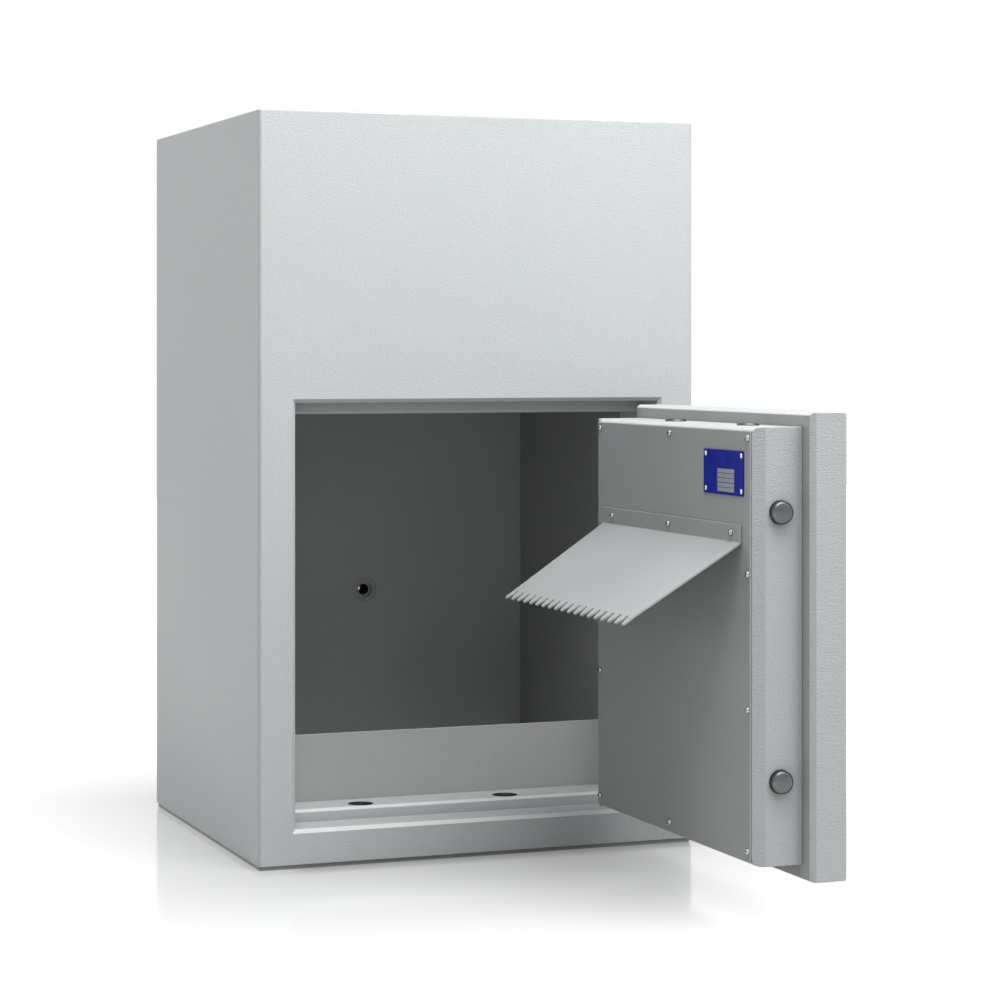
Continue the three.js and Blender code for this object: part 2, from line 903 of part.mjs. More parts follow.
function boltPassages() {
  const radius = boltRadius + runningGap;
  const reach = boxSheet + overrun;
  const passages = [];
  for (const boltX of endBoltXs) {
    passages.push(
      turnedZ(plainRod(radius, boxBottom - overrun, boxBottom + reach), midSegments)
        .translate(boltX, boltY, 0),
      turnedZ(plainRod(radius, boxTop - reach, boxTop + overrun), midSegments)
        .translate(boltX, boltY, 0),
    );
  }
  for (const boltZ of sideBoltZs) {
    passages.push(
      turnedX(plainRod(radius, boxLockX - overrun, boxLockX + reach), midSegments)
        .translate(0, boltY, boltZ),
    );
  }
  return passages;
}

function doorBox() {
  const ahead = block(
    [boxLockX - overrun, 0, boxBottom - overrun],
    [boxHingeX + overrun, boxFrontY, boxTop + overrun],
  );
  const rim = boxChamfer + boxRim;
  const window = block(
    [boxLockX + rim, boxFrontY, boxBottom + rim],
    [boxHingeX - rim, boxRearY + overrun, boxTop - rim],
  );
  const shell = join([boxBlank(0), boxEnd()]);
  return cut(shell, [ahead, boxBlank(boxSheet), window, ...boltPassages()]);
}

function doorCover() {
  return block(
    [boxLockX + boxChamfer, boxRearY + seat, boxBottom + boxChamfer],
    [boxHingeX - coverHingeEdge, coverRearY, boxTop - boxChamfer],
  );
}

// Plan of the sloping sheet: across is X, along is the way down the slope
function baffleOutline() {
  const root = baffleLength - toothLength;
  const shape = new THREE.Shape();
  shape.moveTo(baffleHingeX, 0);
  shape.lineTo(baffleHingeX, root);
  const halfBase = (toothPitch - toothGap) / 2;
  const tipCentre = baffleLength - toothTip;
  for (let tooth = 0; tooth < baffleTeeth; tooth += 1) {
    const centre = baffleHingeX - toothPitch * (tooth + 1 / 2);
    shape.lineTo(centre + halfBase, root);
    shape.absarc(centre, tipCentre, toothTip, 0, Math.PI);
    shape.lineTo(centre - halfBase, root);
  }
  shape.lineTo(baffleRootX, root);
  shape.lineTo(baffleLockX, 0);
  return shape;
}

// One bent sheet: an upright flange on the cover and a comb-edged slope
function bafflePlate() {
  const slope = extrude(baffleOutline(), baffleSheet, { curveSegments: toothSegments });
  slope.translate(0, 0, -baffleSheet);
  slope.rotateX(-baffleAngle);
  slope.translate(0, baffleY + baffleSheet, baffleBendZ);
  const drop = baffleSheet * Math.cos(baffleAngle);
  const flange = block(
    [baffleLockX, baffleY, baffleBendZ - drop],
    [baffleHingeX, baffleY + baffleSheet, baffleBendZ + baffleFlange],
  );
  return join([slope, flange]);
}

function ratingPlate() {
  const left = slabLockX + plateLockEdge;
  const top = slabTop - plateHeadDrop;
  const shape = roundedRectangle(left, left + plateWidth, top - plateHeight, top, plateRadius);
  const low = coverRearY + seat;
  return prismY(shape, low, low + plateSheet);
}

// Carrier plate with riveted studs that guide the bars through their slots

function sideGuides() {
  const x = sideBarX + sideBarWidth / 2 - boltThrow / 2;
  return [[x, sideBoltZs[0] + guideInset], [x, sideBoltZs[1] - guideInset]];
}

function endGuides(sign) {
  const centre = sign > 0 ? topBarTop - endBarHeight / 2 : bottomBarBottom + endBarHeight / 2;
  const z = centre + sign * boltThrow / 2;
  return [[camX - guideNear, z], [camX + guideFar, z]];
}

function boltworkCarrier() {
  const low = slabRearY + seat;
  const cap = barRearY + runningGap;
  const profile = [
    [0, low],
    [stanchionCollar, low],
    [stanchionCollar, barFrontY - runningGap],
    [stanchionRadius, barFrontY - runningGap],
    [stanchionRadius, cap],
    [stanchionCollar, cap],
    [stanchionCollar, cap + stanchionCap],
    [0, cap + stanchionCap],
  ];
  const places = [...sideGuides(), ...endGuides(1), ...endGuides(-1)];
  const studs = places.map(([x, z]) => turned(profile, studSegments).translate(x, 0, z));
  const plate = block(
    [sideBarX, low, bottomBarBottom],
    [endBoltXs[1] + boltRadius + endBarMargin, low + carrierSheet, topBarTop],
  );
  const cutters = [
    spindleCutter(low - overrun, low + carrierSheet + overrun),
    keyhole(low - overrun, low + carrierSheet + overrun),
  ];
  return cut(join([plate, ...studs]), cutters);
}

function guideSlot(x, z, alongX, alongZ) {
  const radius = stanchionRadius + runningGap;
  const shape = roundedRectangle(
    Math.min(x, x + alongX) - radius,
    Math.max(x, x + alongX) + radius,
    Math.min(z, z + alongZ) - radius,
    Math.max(z, z + alongZ) + radius,
    radius - seat,
  );
  return prismY(shape, barFrontY - overrun, barRearY + overrun);
}

function camPin(x, z) {
  const low = camFrontY - pinReach;
  return turned(plainRod(camPinRadius, low, barRearY), coarseSegments).translate(x, 0, z);
}

// Upright bar behind the two side bolts, with an arm to the cam
function sideBar() {
  const high = sideBoltZs[1] + boltRadius;
  const low = sideBoltZs[0] - boltRadius;
  const strip = block([sideBarX, barFrontY, low], [sideBarX + sideBarWidth, barRearY, high]);
  const pinX = camX - camPinOrbit;
  const arm = block(
    [sideBarX, barFrontY, camZ - camArmWidth / 2],
    [pinX + armEnd, barRearY, camZ + camArmWidth / 2],
  );
  const slots = sideGuides().map(([x, z]) => guideSlot(x, z, boltThrow, 0));
  return cut(join([strip, arm, camPin(pinX, camZ)]), slots);
}

// Level bar behind the two upper or the two lower bolts
function endBar(sign) {
  const outer = sign > 0 ? topBarTop : bottomBarBottom;
  const inner = outer - sign * endBarHeight;
  const left = sideBarX + sideBarWidth + barGap;
  const right = endBoltXs[1] + boltRadius + endBarMargin;
  const strip = block(
    [left, barFrontY, Math.min(outer, inner)],
    [right, barRearY, Math.max(outer, inner)],
  );
  const pinZ = camZ + sign * camPinOrbit;
  const armTip = pinZ - sign * armEnd;
  const arm = block(
    [camX - camArmWidth / 2, barFrontY, Math.min(armTip, outer)],
    [camX + camArmWidth / 2, barRearY, Math.max(armTip, outer)],
  );
  const slots = endGuides(sign).map(([x, z]) => guideSlot(x, z, 0, -sign * boltThrow));
  return cut(join([strip, arm, camPin(camX, pinZ)]), slots);
}

function sideBolt(z) {
  const low = boxLockX - sideBoltRest;
  const rod = turnedX(rodProfile(boltRadius, low, low + boltLength, boltChamfer), midSegments);
  return rod.translate(0, boltY, z);
}

function endBolt(x, sign) {
  const tip = sign > 0 ? topBoltEnd : bottomBoltEnd;
  const foot = tip - sign * boltLength;
  const low = Math.min(tip, foot);
  const rod = turnedZ(rodProfile(boltRadius, low, low + boltLength, boltChamfer), midSegments);
  return rod.translate(x, boltY, 0);
}

// Spiral slot: the orbit grows evenly with the turn, so the bar moves evenly too
function camSlot(direction) {
  const reach = camPinRadius + runningGap;
  const low = camFrontY - overrun;
  const high = camRearY + overrun;
  const pitch = boltThrow / camTurnAngle;
  const place = (share, offset) => {
    const angle = direction - share * camTurnAngle;
    const orbit = camPinOrbit + share * boltThrow;
    const slant = Math.hypot(orbit, pitch) / orbit;
    const edge = orbit + offset * slant;
    return [edge * Math.cos(angle), edge * Math.sin(angle)];
  };
  const outerEdge = [];
  const innerEdge = [];
  for (let step = 0; step <= slotSteps; step += 1) {
    outerEdge.push(place(step / slotSteps, reach));
    innerEdge.unshift(place(step / slotSteps, -reach));
  }
  const track = prismY(outline([...outerEdge, ...innerEdge]), low, high);
  const ends = [0, 1].map((share) => {
    const [x, z] = place(share, 0);
    return turned(plainRod(reach + slotEase, low, high), midSegments).translate(x, 0, z);
  });
  return join([track, ...ends]).translate(camX, 0, camZ);
}

// The lock bolt drops into one notch with the bolts drawn, the other with them thrown
function camNotch(angle) {
  const half = lockBoltWidth / 2 + lockBoltGap;
  const depth = camRadius - lockBoltTravel - lockBoltGap;
  const rim = camRadius + overrun;
  const shape = outline([[depth, -half], [rim, -half], [rim, half], [depth, half]]);
  return prismY(shape, camFrontY - overrun, camRearY + overrun)
    .rotateY(angle)
    .translate(camX, 0, camZ);
}

function camDisc() {
  const disc = turned(plainRod(camRadius, camFrontY, camRearY), fineSegments)
    .translate(camX, 0, camZ);
  const hub = turned(plainRod(camHubRadius, carrierRearY + seat, camRearY), midSegments)
    .translate(camX, 0, camZ);
  const cutters = [
    camSlot(Math.PI / 2),
    camSlot(Math.PI),
    camSlot(-Math.PI / 2),
    camNotch(0),
    camNotch(camTurnAngle),
    spindleCutter(slabRearY - overrun, camRearY + overrun),
  ];
  return cut(join([disc, hub]), cutters);
}

function spindle() {
  const front = rosetteFrontY - handleHubLength + handleCap;
  const rear = camRearY + spindleTail;
  return turned(plainRod(spindleRadius, front, rear), midSegments).translate(camX, 0, camZ);
}

const lockBoltX = camX + camRadius + lockBoltGap;
const lockBoltFrontY = (camFrontY + camRearY - lockBoltThickness) / 2;

function lockCase() {
  const low = [lockX, carrierRearY + seat, camZ - lockHeight / 2];
  const high = [lockX + lockWidth, carrierRearY + seat + lockDepth, camZ + lockHeight / 2];
  const half = lockBoltWidth / 2 + lockBoltGap;
  const pocketEnd = lockBoltX + lockBoltLength + lockBoltGap;
  const pocket = block(
    [lockX - overrun, lockBoltFrontY - lockBoltGap, camZ - half],
    [pocketEnd, lockBoltFrontY + lockBoltThickness + lockBoltGap, camZ + half],
  );
  return cut(block(low, high), [pocket]);
}

function lockBolt() {
  return block(
    [lockBoltX, lockBoltFrontY, camZ - lockBoltWidth / 2],
    [lockBoltX + lockBoltLength, lockBoltFrontY + lockBoltThickness, camZ + lockBoltWidth / 2],
  );
}

// Outer side of the door: rosette, lever, key plate and its swinging cover

function handleRosette() {
  const rear = slabFrontY - seat;
  const profile = [
    [spindleRadius + seat, rear],
    [spindleRadius + seat, rosetteFrontY],
    [rosetteRadius - rosetteHeight / 2, rosetteFrontY],
    [rosetteRadius, rosetteFrontY + rosetteHeight / 2],
    [rosetteRadius, rear],
    [spindleRadius + seat, rear],
  ];
  return turned(profile, fineSegments).translate(camX, 0, camZ);
}

function leverHandle() {
  const rear = rosetteFrontY - runningGap;
  const front = rear - handleHubLength;
  const hub = turned(rodProfile(handleHubRadius, front, rear, handleLeverDepth / 4), fineSegments)
    .translate(camX, 0, camZ);
  const lever = new THREE.Shape();
  const half = handleLeverWidth / 2;
  lever.moveTo(half, 0);
  lever.lineTo(-half, 0);
  lever.lineTo(-handleTipRadius + leverBevel, -handleLever);
  lever.absarc(0, -handleLever, handleTipRadius - leverBevel, Math.PI, 2 * Math.PI);
  const bar = prismY(lever, front + leverBevel, front + handleLeverDepth - leverBevel, {
    bevelEnabled: true,
    bevelThickness: leverBevel,
    bevelSize: leverBevel,
    bevelSegments: 2,
    curveSegments: drillSegments,
  }).translate(camX, 0, camZ);
  const boreProfile = plainRod(spindleRadius + seat, front + handleCap - seat, rear + overrun);
  const bore = turned(boreProfile, midSegments).translate(camX, 0, camZ);
  return cut(join([hub, bar]), [bore]);
}

function keyhole(low, high) {
  const round = turned(plainRod(keyholeRadius, low, high), coarseSegments);
  const slot = block([-keyholeSlot / 2, low, -keyholeLength], [keyholeSlot / 2, high, 0]);
  return join([round, slot]).translate(keyX, 0, keyZ);
}

// Plate with a fixed stud from which the cover hangs
function keyEscutcheon() {
  const rear = slabFrontY - seat;
  const front = rear - keyPlateHeight;
  const plate = turned(rodProfile(keyPlateRadius, front, rear, keyPlateHeight / 4), fineSegments)
    .translate(keyX, 0, keyZ);
  const coverFront = front - runningGap - keyCoverThickness - runningGap;
  const studProfile = [
    [0, coverFront - keyPivotRadius],
    [2 * keyPivotRadius, coverFront - keyPivotRadius],
    [2 * keyPivotRadius, coverFront],
    [keyPivotRadius, coverFront],
    [keyPivotRadius, rear],
    [0, rear],
  ];
  const stud = turned(studProfile, coarseSegments).translate(keyX, 0, keyZ + keyPivotRise);
  return cut(join([plate, stud]), [keyhole(front - overrun, rear + overrun)]);
}

function keyCover() {
  const rear = slabFrontY - seat - keyPlateHeight - runningGap;
  const front = rear - keyCoverThickness;
  const disc = turned(plainRod(keyCoverRadius, front, rear), midSegments)
    .translate(0, 0, -keyPivotRise);
  const eye = turned(plainRod(2 * keyPivotRadius, front, rear), midSegments);
  const web = block([-2 * keyPivotRadius, front, -keyPivotRise], [2 * keyPivotRadius, rear, 0]);
  const boreProfile = plainRod(keyPivotRadius + seat, front - overrun, rear + overrun);
  const bore = turned(boreProfile, coarseSegments);
  return cut(join([disc, eye, web]), [bore]).translate(keyX, 0, keyZ + keyPivotRise);
}

hingeBaseZs.forEach((low, index) => {
  addMesh(door, `hinge_leaf_${index === 0 ? 'lower' : 'upper'}`, hingeLeaf(low), paint());
});
addMesh(door, 'door_slab', doorSlab(), paint());
addMesh(door, 'door_box', doorBox(), paint());
addMesh(door, 'door_cover', doorCover(), innerPaint());
addMesh(door, 'baffle_plate', bafflePlate(), paint());
addMesh(door, 'rating_plate', ratingPlate(), finish(plateBlue, 0.35, 0.2));
addMesh(door, 'boltwork_carrier', boltworkCarrier(), darkSteel());
addMesh(door, 'lock_case', lockCase(), finish(brassTone, 0.45, 0.9));
addMesh(door, 'lock_bolt', lockBolt(), finish(brassTone, 0.35, 0.9));
addMesh(door, 'handle_rosette', handleRosette(), bareSteel());
addMesh(door, 'lever_handle', leverHandle(), polymer());
addMesh(door, 'handle_spindle', spindle(), darkSteel());
addMesh(door, 'cam_disc', camDisc(), darkSteel());
addMesh(door, 'key_escutcheon', keyEscutcheon(), bareSteel());
addMesh(door, 'key_cover', keyCover(), bareSteel());
addMesh(door, 'side_bar', sideBar(), darkSteel());
addMesh(door, 'top_bar', endBar(1), darkSteel());
addMesh(door, 'bottom_bar', endBar(-1), darkSteel());
addMesh(door, 'side_bolt_lower', sideBolt(sideBoltZs[0]), bareSteel());
addMesh(door, 'side_bolt_upper', sideBolt(sideBoltZs[1]), bareSteel());
addMesh(door, 'top_bolt_outer', endBolt(endBoltXs[0], 1), bareSteel());
addMesh(door, 'top_bolt_inner', endBolt(endBoltXs[1], 1), bareSteel());
addMesh(door, 'bottom_bolt_outer', endBolt(endBoltXs[0], -1), bareSteel());
addMesh(door, 'bottom_bolt_inner', endBolt(endBoltXs[1], -1), bareSteel());

// Deposit drawer: a ramp behind the outer plate and a bottomless bay in front of it

const stripLow = chamberBottom + stripRise;
const stripHigh = stripLow + stripHeight;

// Side wall with its slide strip, as one rolled section
function drawerSide(sign) {
  const section = outline([
    [sign * (drawerHalf - drawerSheet), drawerBottom],
    [sign * drawerHalf, drawerBottom],
    [sign * drawerHalf, stripLow],
    [sign * (drawerHalf + stripDepth), stripLow],
    [sign * (drawerHalf + stripDepth), stripHigh],
    [sign * drawerHalf, stripHigh],
    [sign * drawerHalf, drawerTop],
    [sign * (drawerHalf - drawerSheet), drawerTop],
  ]);
  const side = prismY(section, drawerFrontY, rearY - runnerEnd);
  const edges = [sign * drawerHalf, sign * (drawerHalf - drawerSheet)];
  const wall = block(
    [Math.min(...edges), rearY - runnerEnd - overrun, drawerBottom],
    [Math.max(...edges), rearY, drawerTop],
  );
  return join([side, wall]);
}

function drawerInnerHalf() {
  return drawerHalf - drawerSheet - seat;
}

// Wall at the inner end that keeps hands out of the drop
function drawerBarrier() {
  const half = drawerInnerHalf();
  return block([-half, drawerFrontY, drawerBottom], [half, drawerFrontY + drawerSheet, drawerTop]);
}

function drawerRamp() {
  const half = drawerInnerHalf();
  const low = drawerBottom;
  const top = drawerBottom + drawerSlopeTop;
  const section = outline([
    [slopeFrontY, low],
    [rearY, top - drawerSheet],
    [rearY, top],
    [slopeFrontY, low + drawerSheet],
  ]);
  return prismX(section, -half, half);
}

function drawerPlateBlank() {
  const bevel = drawerPlateBevel;
  const half = collarHalf + drawerOverlap - bevel;
  const bottom = collarBottom - drawerOverlap + bevel;
  const top = collarTop + drawerOverlap - bevel;
  const shape = roundedRectangle(-half, half, bottom, top, bevel);
  return prismY(shape, drawerRearY + bevel, drawerRearY + drawerPlate - bevel, {
    bevelEnabled: true,
    bevelThickness: bevel,
    bevelSize: bevel,
    bevelSegments: 2,
  });
}

// C-section rail on a foot that stands on the chamber floor
function runner(sign) {
  const near = drawerHalf + stripDepth / 4;
  const web = drawerHalf + stripDepth + runningGap;
  const far = web + runnerSheet;
  const foot = chamberBottom + seat;
  const lower = stripLow - runningGap;
  const upper = stripHigh + runningGap;
  const section = outline([
    [sign * web, foot],
    [sign * (far + runnerFoot), foot],
    [sign * (far + runnerFoot), foot + runnerSheet],
    [sign * far, foot + runnerSheet],
    [sign * far, upper + runnerSheet],
    [sign * near, upper + runnerSheet],
    [sign * near, upper],
    [sign * web, upper],
    [sign * web, lower],
    [sign * near, lower],
    [sign * near, lower - runnerSheet],
    [sign * web, lower - runnerSheet],
  ]);
  return prismY(section, drawerFrontY, innerRearY - seat);
}

const pullZ = (collarBottom + collarTop) / 2;

// Bow handle swept along one bent line
function drawerPull() {
  const foot = drawerRearY + drawerPlate + seat;
  const reach = foot + pullReach;
  const half = pullSpan / 2;
  const path = new THREE.CurvePath();
  const point = (x, y) => new THREE.Vector3(x, y, pullZ);
  path.add(new THREE.LineCurve3(point(-half, foot), point(-half, reach - pullBend)));
  path.add(new THREE.QuadraticBezierCurve3(
    point(-half, reach - pullBend), point(-half, reach), point(-half + pullBend, reach),
  ));
  path.add(new THREE.LineCurve3(point(-half + pullBend, reach), point(half - pullBend, reach)));
  path.add(new THREE.QuadraticBezierCurve3(
    point(half - pullBend, reach), point(half, reach), point(half, reach - pullBend),
  ));
  path.add(new THREE.LineCurve3(point(half, reach - pullBend), point(half, foot)));
  const section = new THREE.Shape();
  section.absarc(0, 0, pullRadius, 0, 2 * Math.PI);
  const bow = new THREE.ExtrudeGeometry(section, {
    steps: pullSteps,
    extrudePath: path,
    curveSegments: pullSides / 2,
    bevelEnabled: false,
  });
  const feet = [-half, half].map((x) => (
    turned(plainRod(pullFootRadius, foot, foot + pullFootHeight), midSegments).translate(x, 0, pullZ)
  ));
  return join([bow, ...feet]);
}

addMesh(safe, 'runner_left', runner(-1), bareSteel());
addMesh(safe, 'runner_right', runner(1), bareSteel());
addMesh(safe, 'drawer_side_left', drawerSide(-1), innerPaint());
addMesh(safe, 'drawer_side_right', drawerSide(1), innerPaint());
addMesh(safe, 'drawer_barrier', drawerBarrier(), innerPaint());
addMesh(safe, 'drawer_ramp', drawerRamp(), innerPaint());
addMesh(safe, 'drawer_front', drawerPlateBlank(), paint());
addMesh(safe, 'drawer_pull', drawerPull(), bareSteel());

export default safe;
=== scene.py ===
import json
import math

import bmesh
import bpy
from mathutils import Matrix, Vector


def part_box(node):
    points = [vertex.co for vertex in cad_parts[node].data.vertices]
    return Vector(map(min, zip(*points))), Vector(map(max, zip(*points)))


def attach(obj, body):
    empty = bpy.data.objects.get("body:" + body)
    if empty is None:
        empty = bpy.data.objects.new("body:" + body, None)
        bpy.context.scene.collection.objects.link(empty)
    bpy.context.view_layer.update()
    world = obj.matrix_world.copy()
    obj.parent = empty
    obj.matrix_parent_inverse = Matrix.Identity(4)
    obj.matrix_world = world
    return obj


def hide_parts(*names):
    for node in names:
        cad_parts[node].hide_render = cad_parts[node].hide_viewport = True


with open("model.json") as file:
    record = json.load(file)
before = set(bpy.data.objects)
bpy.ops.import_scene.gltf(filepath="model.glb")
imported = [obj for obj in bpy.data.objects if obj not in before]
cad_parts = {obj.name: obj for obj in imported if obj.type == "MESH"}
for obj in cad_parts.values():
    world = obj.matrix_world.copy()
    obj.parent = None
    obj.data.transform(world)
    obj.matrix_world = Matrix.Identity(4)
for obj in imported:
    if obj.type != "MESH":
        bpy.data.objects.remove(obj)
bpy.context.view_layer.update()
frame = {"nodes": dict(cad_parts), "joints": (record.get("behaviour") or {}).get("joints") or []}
nodes = frame["nodes"]
scene = bpy.context.scene
scene.view_settings.view_transform = "Standard"
mm = 0.001  # Blender works in metres
squareOn = 0.9  # a face looks along an axis from this much of its normal up
print("frame loaded with", len(nodes), "nodes")


def millimetres(*values):
    return Vector([value * mm for value in values])


def addObject(name, data):
    added = bpy.data.objects.new(name, data)
    scene.collection.objects.link(added)
    return added


def newPiece(name, mesh, material):
    piece = addObject(name, mesh)
    mesh.materials.clear()
    mesh.materials.append(material)
    return piece


def meshFromBuild(name, build):
    mesh = bpy.data.meshes.new(name)
    build.to_mesh(mesh)
    build.free()
    return mesh


def bakeModifiers(piece):
    # the modifiers' result becomes the piece's own mesh
    bpy.context.view_layer.update()
    graph = bpy.context.evaluated_depsgraph_get()
    finished = bpy.data.meshes.new_from_object(piece.evaluated_get(graph))
    piece.modifiers.clear()
    piece.data = finished
    return piece


edgeWork = {
    "sharperThan": 38.0, "normalWeight": 70, "weld": 0.00001, "flatWithin": 0.4,
    "turnedSharp": 32, "screwSharp": 35, "tubeSharp": 60}


def softenEdges(piece, radius, segments=2, sharperThan=edgeWork["sharperThan"]):
    bevel = piece.modifiers.new("edges", "BEVEL")
    bevel.width = radius * mm
    bevel.segments = segments
    bevel.limit_method = "ANGLE"
    bevel.angle_limit = math.radians(sharperThan)
    bevel.use_clamp_overlap = True
    for face in piece.data.polygons:
        face.use_smooth = True
    shade = piece.modifiers.new("shade", "WEIGHTED_NORMAL")
    shade.weight = edgeWork["normalWeight"]
    shade.keep_sharp = True
    return bakeModifiers(piece)


def softCopy(nodeName, pieceName, material, radius, *rounding):
    # same solid as the node, with its flat facets merged and its rims eased
    build = bmesh.new()
    build.from_mesh(nodes[nodeName].data)
    bmesh.ops.remove_doubles(build, verts=build.verts, dist=edgeWork["weld"])
    bmesh.ops.dissolve_limit(
        build, angle_limit=math.radians(edgeWork["flatWithin"]),
        verts=build.verts, edges=build.edges)
    piece = newPiece(pieceName, meshFromBuild(pieceName, build), material)
    return softenEdges(piece, radius, *rounding)


def pointRing(build, count, height, radiusAt):
    # a ring of points about local Z, in millimetres; the radius may change with the angle
    ring = []
    for step in range(count):
        angle = 2 * math.pi * step / count
        radius = radiusAt(angle)
        ring.append(build.verts.new(millimetres(
            radius * math.cos(angle), radius * math.sin(angle), height)))
    return ring


def joinRings(build, rings):
    # a band of four-cornered faces from each ring to the next
    for near, far in zip(rings, rings[1:]):
        for index in range(len(near)):
            following = (index + 1) % len(near)
            build.faces.new([near[index], near[following], far[following], far[index]])


def closedMesh(name, build, sharpFrom=None):
    # faces turned outwards, and with an angle all smooth but for the edges sharper than it
    bmesh.ops.recalc_face_normals(build, faces=build.faces)
    for face in build.faces:
        face.smooth = bool(sharpFrom)
    mesh = meshFromBuild(name, build)
    if sharpFrom:
        mesh.set_sharp_from_angle(angle=math.radians(sharpFrom))
    return mesh


def cappedMesh(name, build, rings, sharpFrom=None):
    joinRings(build, rings)
    build.faces.new(list(reversed(rings[0])))
    build.faces.new(rings[-1])
    return closedMesh(name, build, sharpFrom)


def turnedMesh(name, profile, segments):
    # profile of radius and height in millimetres, turned about local Z
    build = bmesh.new()
    rings = []
    for radius, height in profile:
        if radius == 0:
            rings.append([build.verts.new(millimetres(0, 0, height))])
        else:
            rings.append(pointRing(build, segments, height, lambda angle: radius))
    for lower, upper in zip(rings, rings[1:]):
        if len(lower) == len(upper):
            joinRings(build, (lower, upper))
            continue
        for step in range(segments):
            following = (step + 1) % segments
            if len(lower) == 1:
                build.faces.new([lower[0], upper[following], upper[step]])
            else:
                build.faces.new([lower[step], lower[following], upper[0]])
    return closedMesh(name, build, edgeWork["turnedSharp"])


def turnedPiece(name, profile, segments, material, place=(0, 0, 0), turn=Matrix.Identity(4)):
    piece = newPiece(name, turnedMesh(name, profile, segments), material)
    piece.matrix_world = Matrix.Translation(place) @ turn
    return piece


def roundedCorners(left, right, bottom, top, radius, steps=6):
    points = []
    centres = [
        (right - radius, bottom + radius, -90), (right - radius, top - radius, 0),
        (left + radius, top - radius, 90), (left + radius, bottom + radius, 180)]
    for x, y, start in centres:
        for step in range(steps + 1):
            angle = math.radians(start + 90 * step / steps)
            points.append((x + radius * math.cos(angle), y + radius * math.sin(angle)))
    return points


def sheetPiece(name, outline, thickness, material):
    # outline in local X and Y, raised along local Z, in millimetres
    build = bmesh.new()
    rings = [[build.verts.new(millimetres(x, y, z)) for x, y in outline] for z in (0, thickness)]
    return newPiece(name, cappedMesh(name, build, rings), material)


def seat(piece, body, replaced=None):
    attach(piece, body)
    if replaced:
        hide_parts(replaced)
    return piece


def paintFaces(piece, material, axis, beyond=-1.0):
    # faces that look back along an axis and lie past a place on it, in metres
    piece.data.materials.append(material)
    for face in piece.data.polygons:
        if face.normal[axis] < -squareOn and face.center[axis] > beyond:
            face.material_index = len(piece.data.materials) - 1
    return piece


def dress(nodeName, pieceName, body, slot, material, *rounding):
    return seat(softCopy(nodeName, pieceName, material, *rounding), body, nodeName)


def nodeCentre(nodeName):
    low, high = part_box(nodeName)
    return (low + high) / 2


def startGroup(name, inputs, outputs):
    group = bpy.data.node_groups.new(name, "ShaderNodeTree")
    for socketName, value in inputs.items():
        kind = "NodeSocketVector" if isinstance(value, tuple) else "NodeSocketFloat"
        socket = group.interface.new_socket(socketName, in_out="INPUT", socket_type=kind)
        socket.default_value = value
    for socketName in outputs:
        group.interface.new_socket(socketName, in_out="OUTPUT", socket_type="NodeSocketFloat")
    given = group.nodes.new("NodeGroupInput").outputs
    return group, given, group.nodes.new("NodeGroupOutput").inputs


def feed(tree, socket, value):
    # a colour or a number is set on the socket, another node's output is linked to it
    if isinstance(value, tuple):
        socket.default_value = (*value, 1.0)
    elif isinstance(value, (int, float)):
        socket.default_value = value
    else:
        tree.links.new(value, socket)


def calculate(tree, operation, first, second=None, clamp=False):
    maths = tree.nodes.new("ShaderNodeMath")
    maths.operation = operation
    maths.use_clamp = clamp
    feed(tree, maths.inputs[0], first)
    if second is not None:
        feed(tree, maths.inputs[1], second)
    return maths.outputs[0]


def multiply(tree, first, second, clamp=False):
    return calculate(tree, "MULTIPLY", first, second, clamp)


def vectorMath(tree, operation, first, second):
    maths = tree.nodes.new("ShaderNodeVectorMath")
    maths.operation = operation
    feed(tree, maths.inputs[0], first)
    feed(tree, maths.inputs[1], second)
    return maths.outputs


def remap(tree, value, low, high, newLow, newHigh):
    node = tree.nodes.new("ShaderNodeMapRange")
    feed(tree, node.inputs["Value"], value)
    ends = ("From Min", "From Max", "To Min", "To Max")
    for end, number in zip(ends, (low, high, newLow, newHigh)):
        node.inputs[end].default_value = number
    return node.outputs[0]


def noise(tree, vector, scale, detail=2.0, roughness=0.5):
    node = tree.nodes.new("ShaderNodeTexNoise")
    feed(tree, node.inputs["Vector"], vector)
    feed(tree, node.inputs["Scale"], scale)
    node.inputs["Detail"].default_value = detail
    node.inputs["Roughness"].default_value = roughness
    return node.outputs["Fac"]


def objectPlace(tree):
    return tree.nodes.new("ShaderNodeTexCoord").outputs["Object"]


def axesOf(tree, vector):
    node = tree.nodes.new("ShaderNodeSeparateXYZ")
    feed(tree, node.inputs[0], vector)
    return node.outputs


def scaleFrom(tree, cellSize):
    return calculate(tree, "DIVIDE", 1.0, cellSize)


def weigh(tree, first, second, share):
    # the first by its share, the second by the rest
    return calculate(
        tree, "ADD", multiply(tree, first, share), multiply(tree, second, 1 - share))


def orangePeelGroup():
    # pebbled powder coat: fine dimples, and a broad change of tone
    group, given, result = startGroup(
        "orangePeel", {"Cell": 0.0022, "Tone Size": 0.25, "Stretch": (1.0, 1.0, 1.0)},
        ("Height", "Tone"))
    place = objectPlace(group)
    stretched = vectorMath(group, "MULTIPLY", place, given["Stretch"])["Vector"]
    density = scaleFrom(group, given["Cell"])
    dimples = noise(group, stretched, density, detail=2.5, roughness=0.45)
    pebbles = group.nodes.new("ShaderNodeTexVoronoi")
    pebbles.feature = "SMOOTH_F1"
    feed(group, pebbles.inputs["Vector"], stretched)
    pebbleScale, pebbleHeight = 0.8, 0.5
    feed(group, pebbles.inputs["Scale"], multiply(group, density, pebbleScale))
    lumps = calculate(group, "SUBTRACT", 1.0, pebbles.outputs["Distance"])
    total = calculate(group, "ADD", dimples, multiply(group, lumps, pebbleHeight))
    feed(group, result["Height"], total)
    broad = noise(group, place, scaleFrom(group, given["Tone Size"]), detail=3.0)
    feed(group, result["Tone"], broad)
    return group


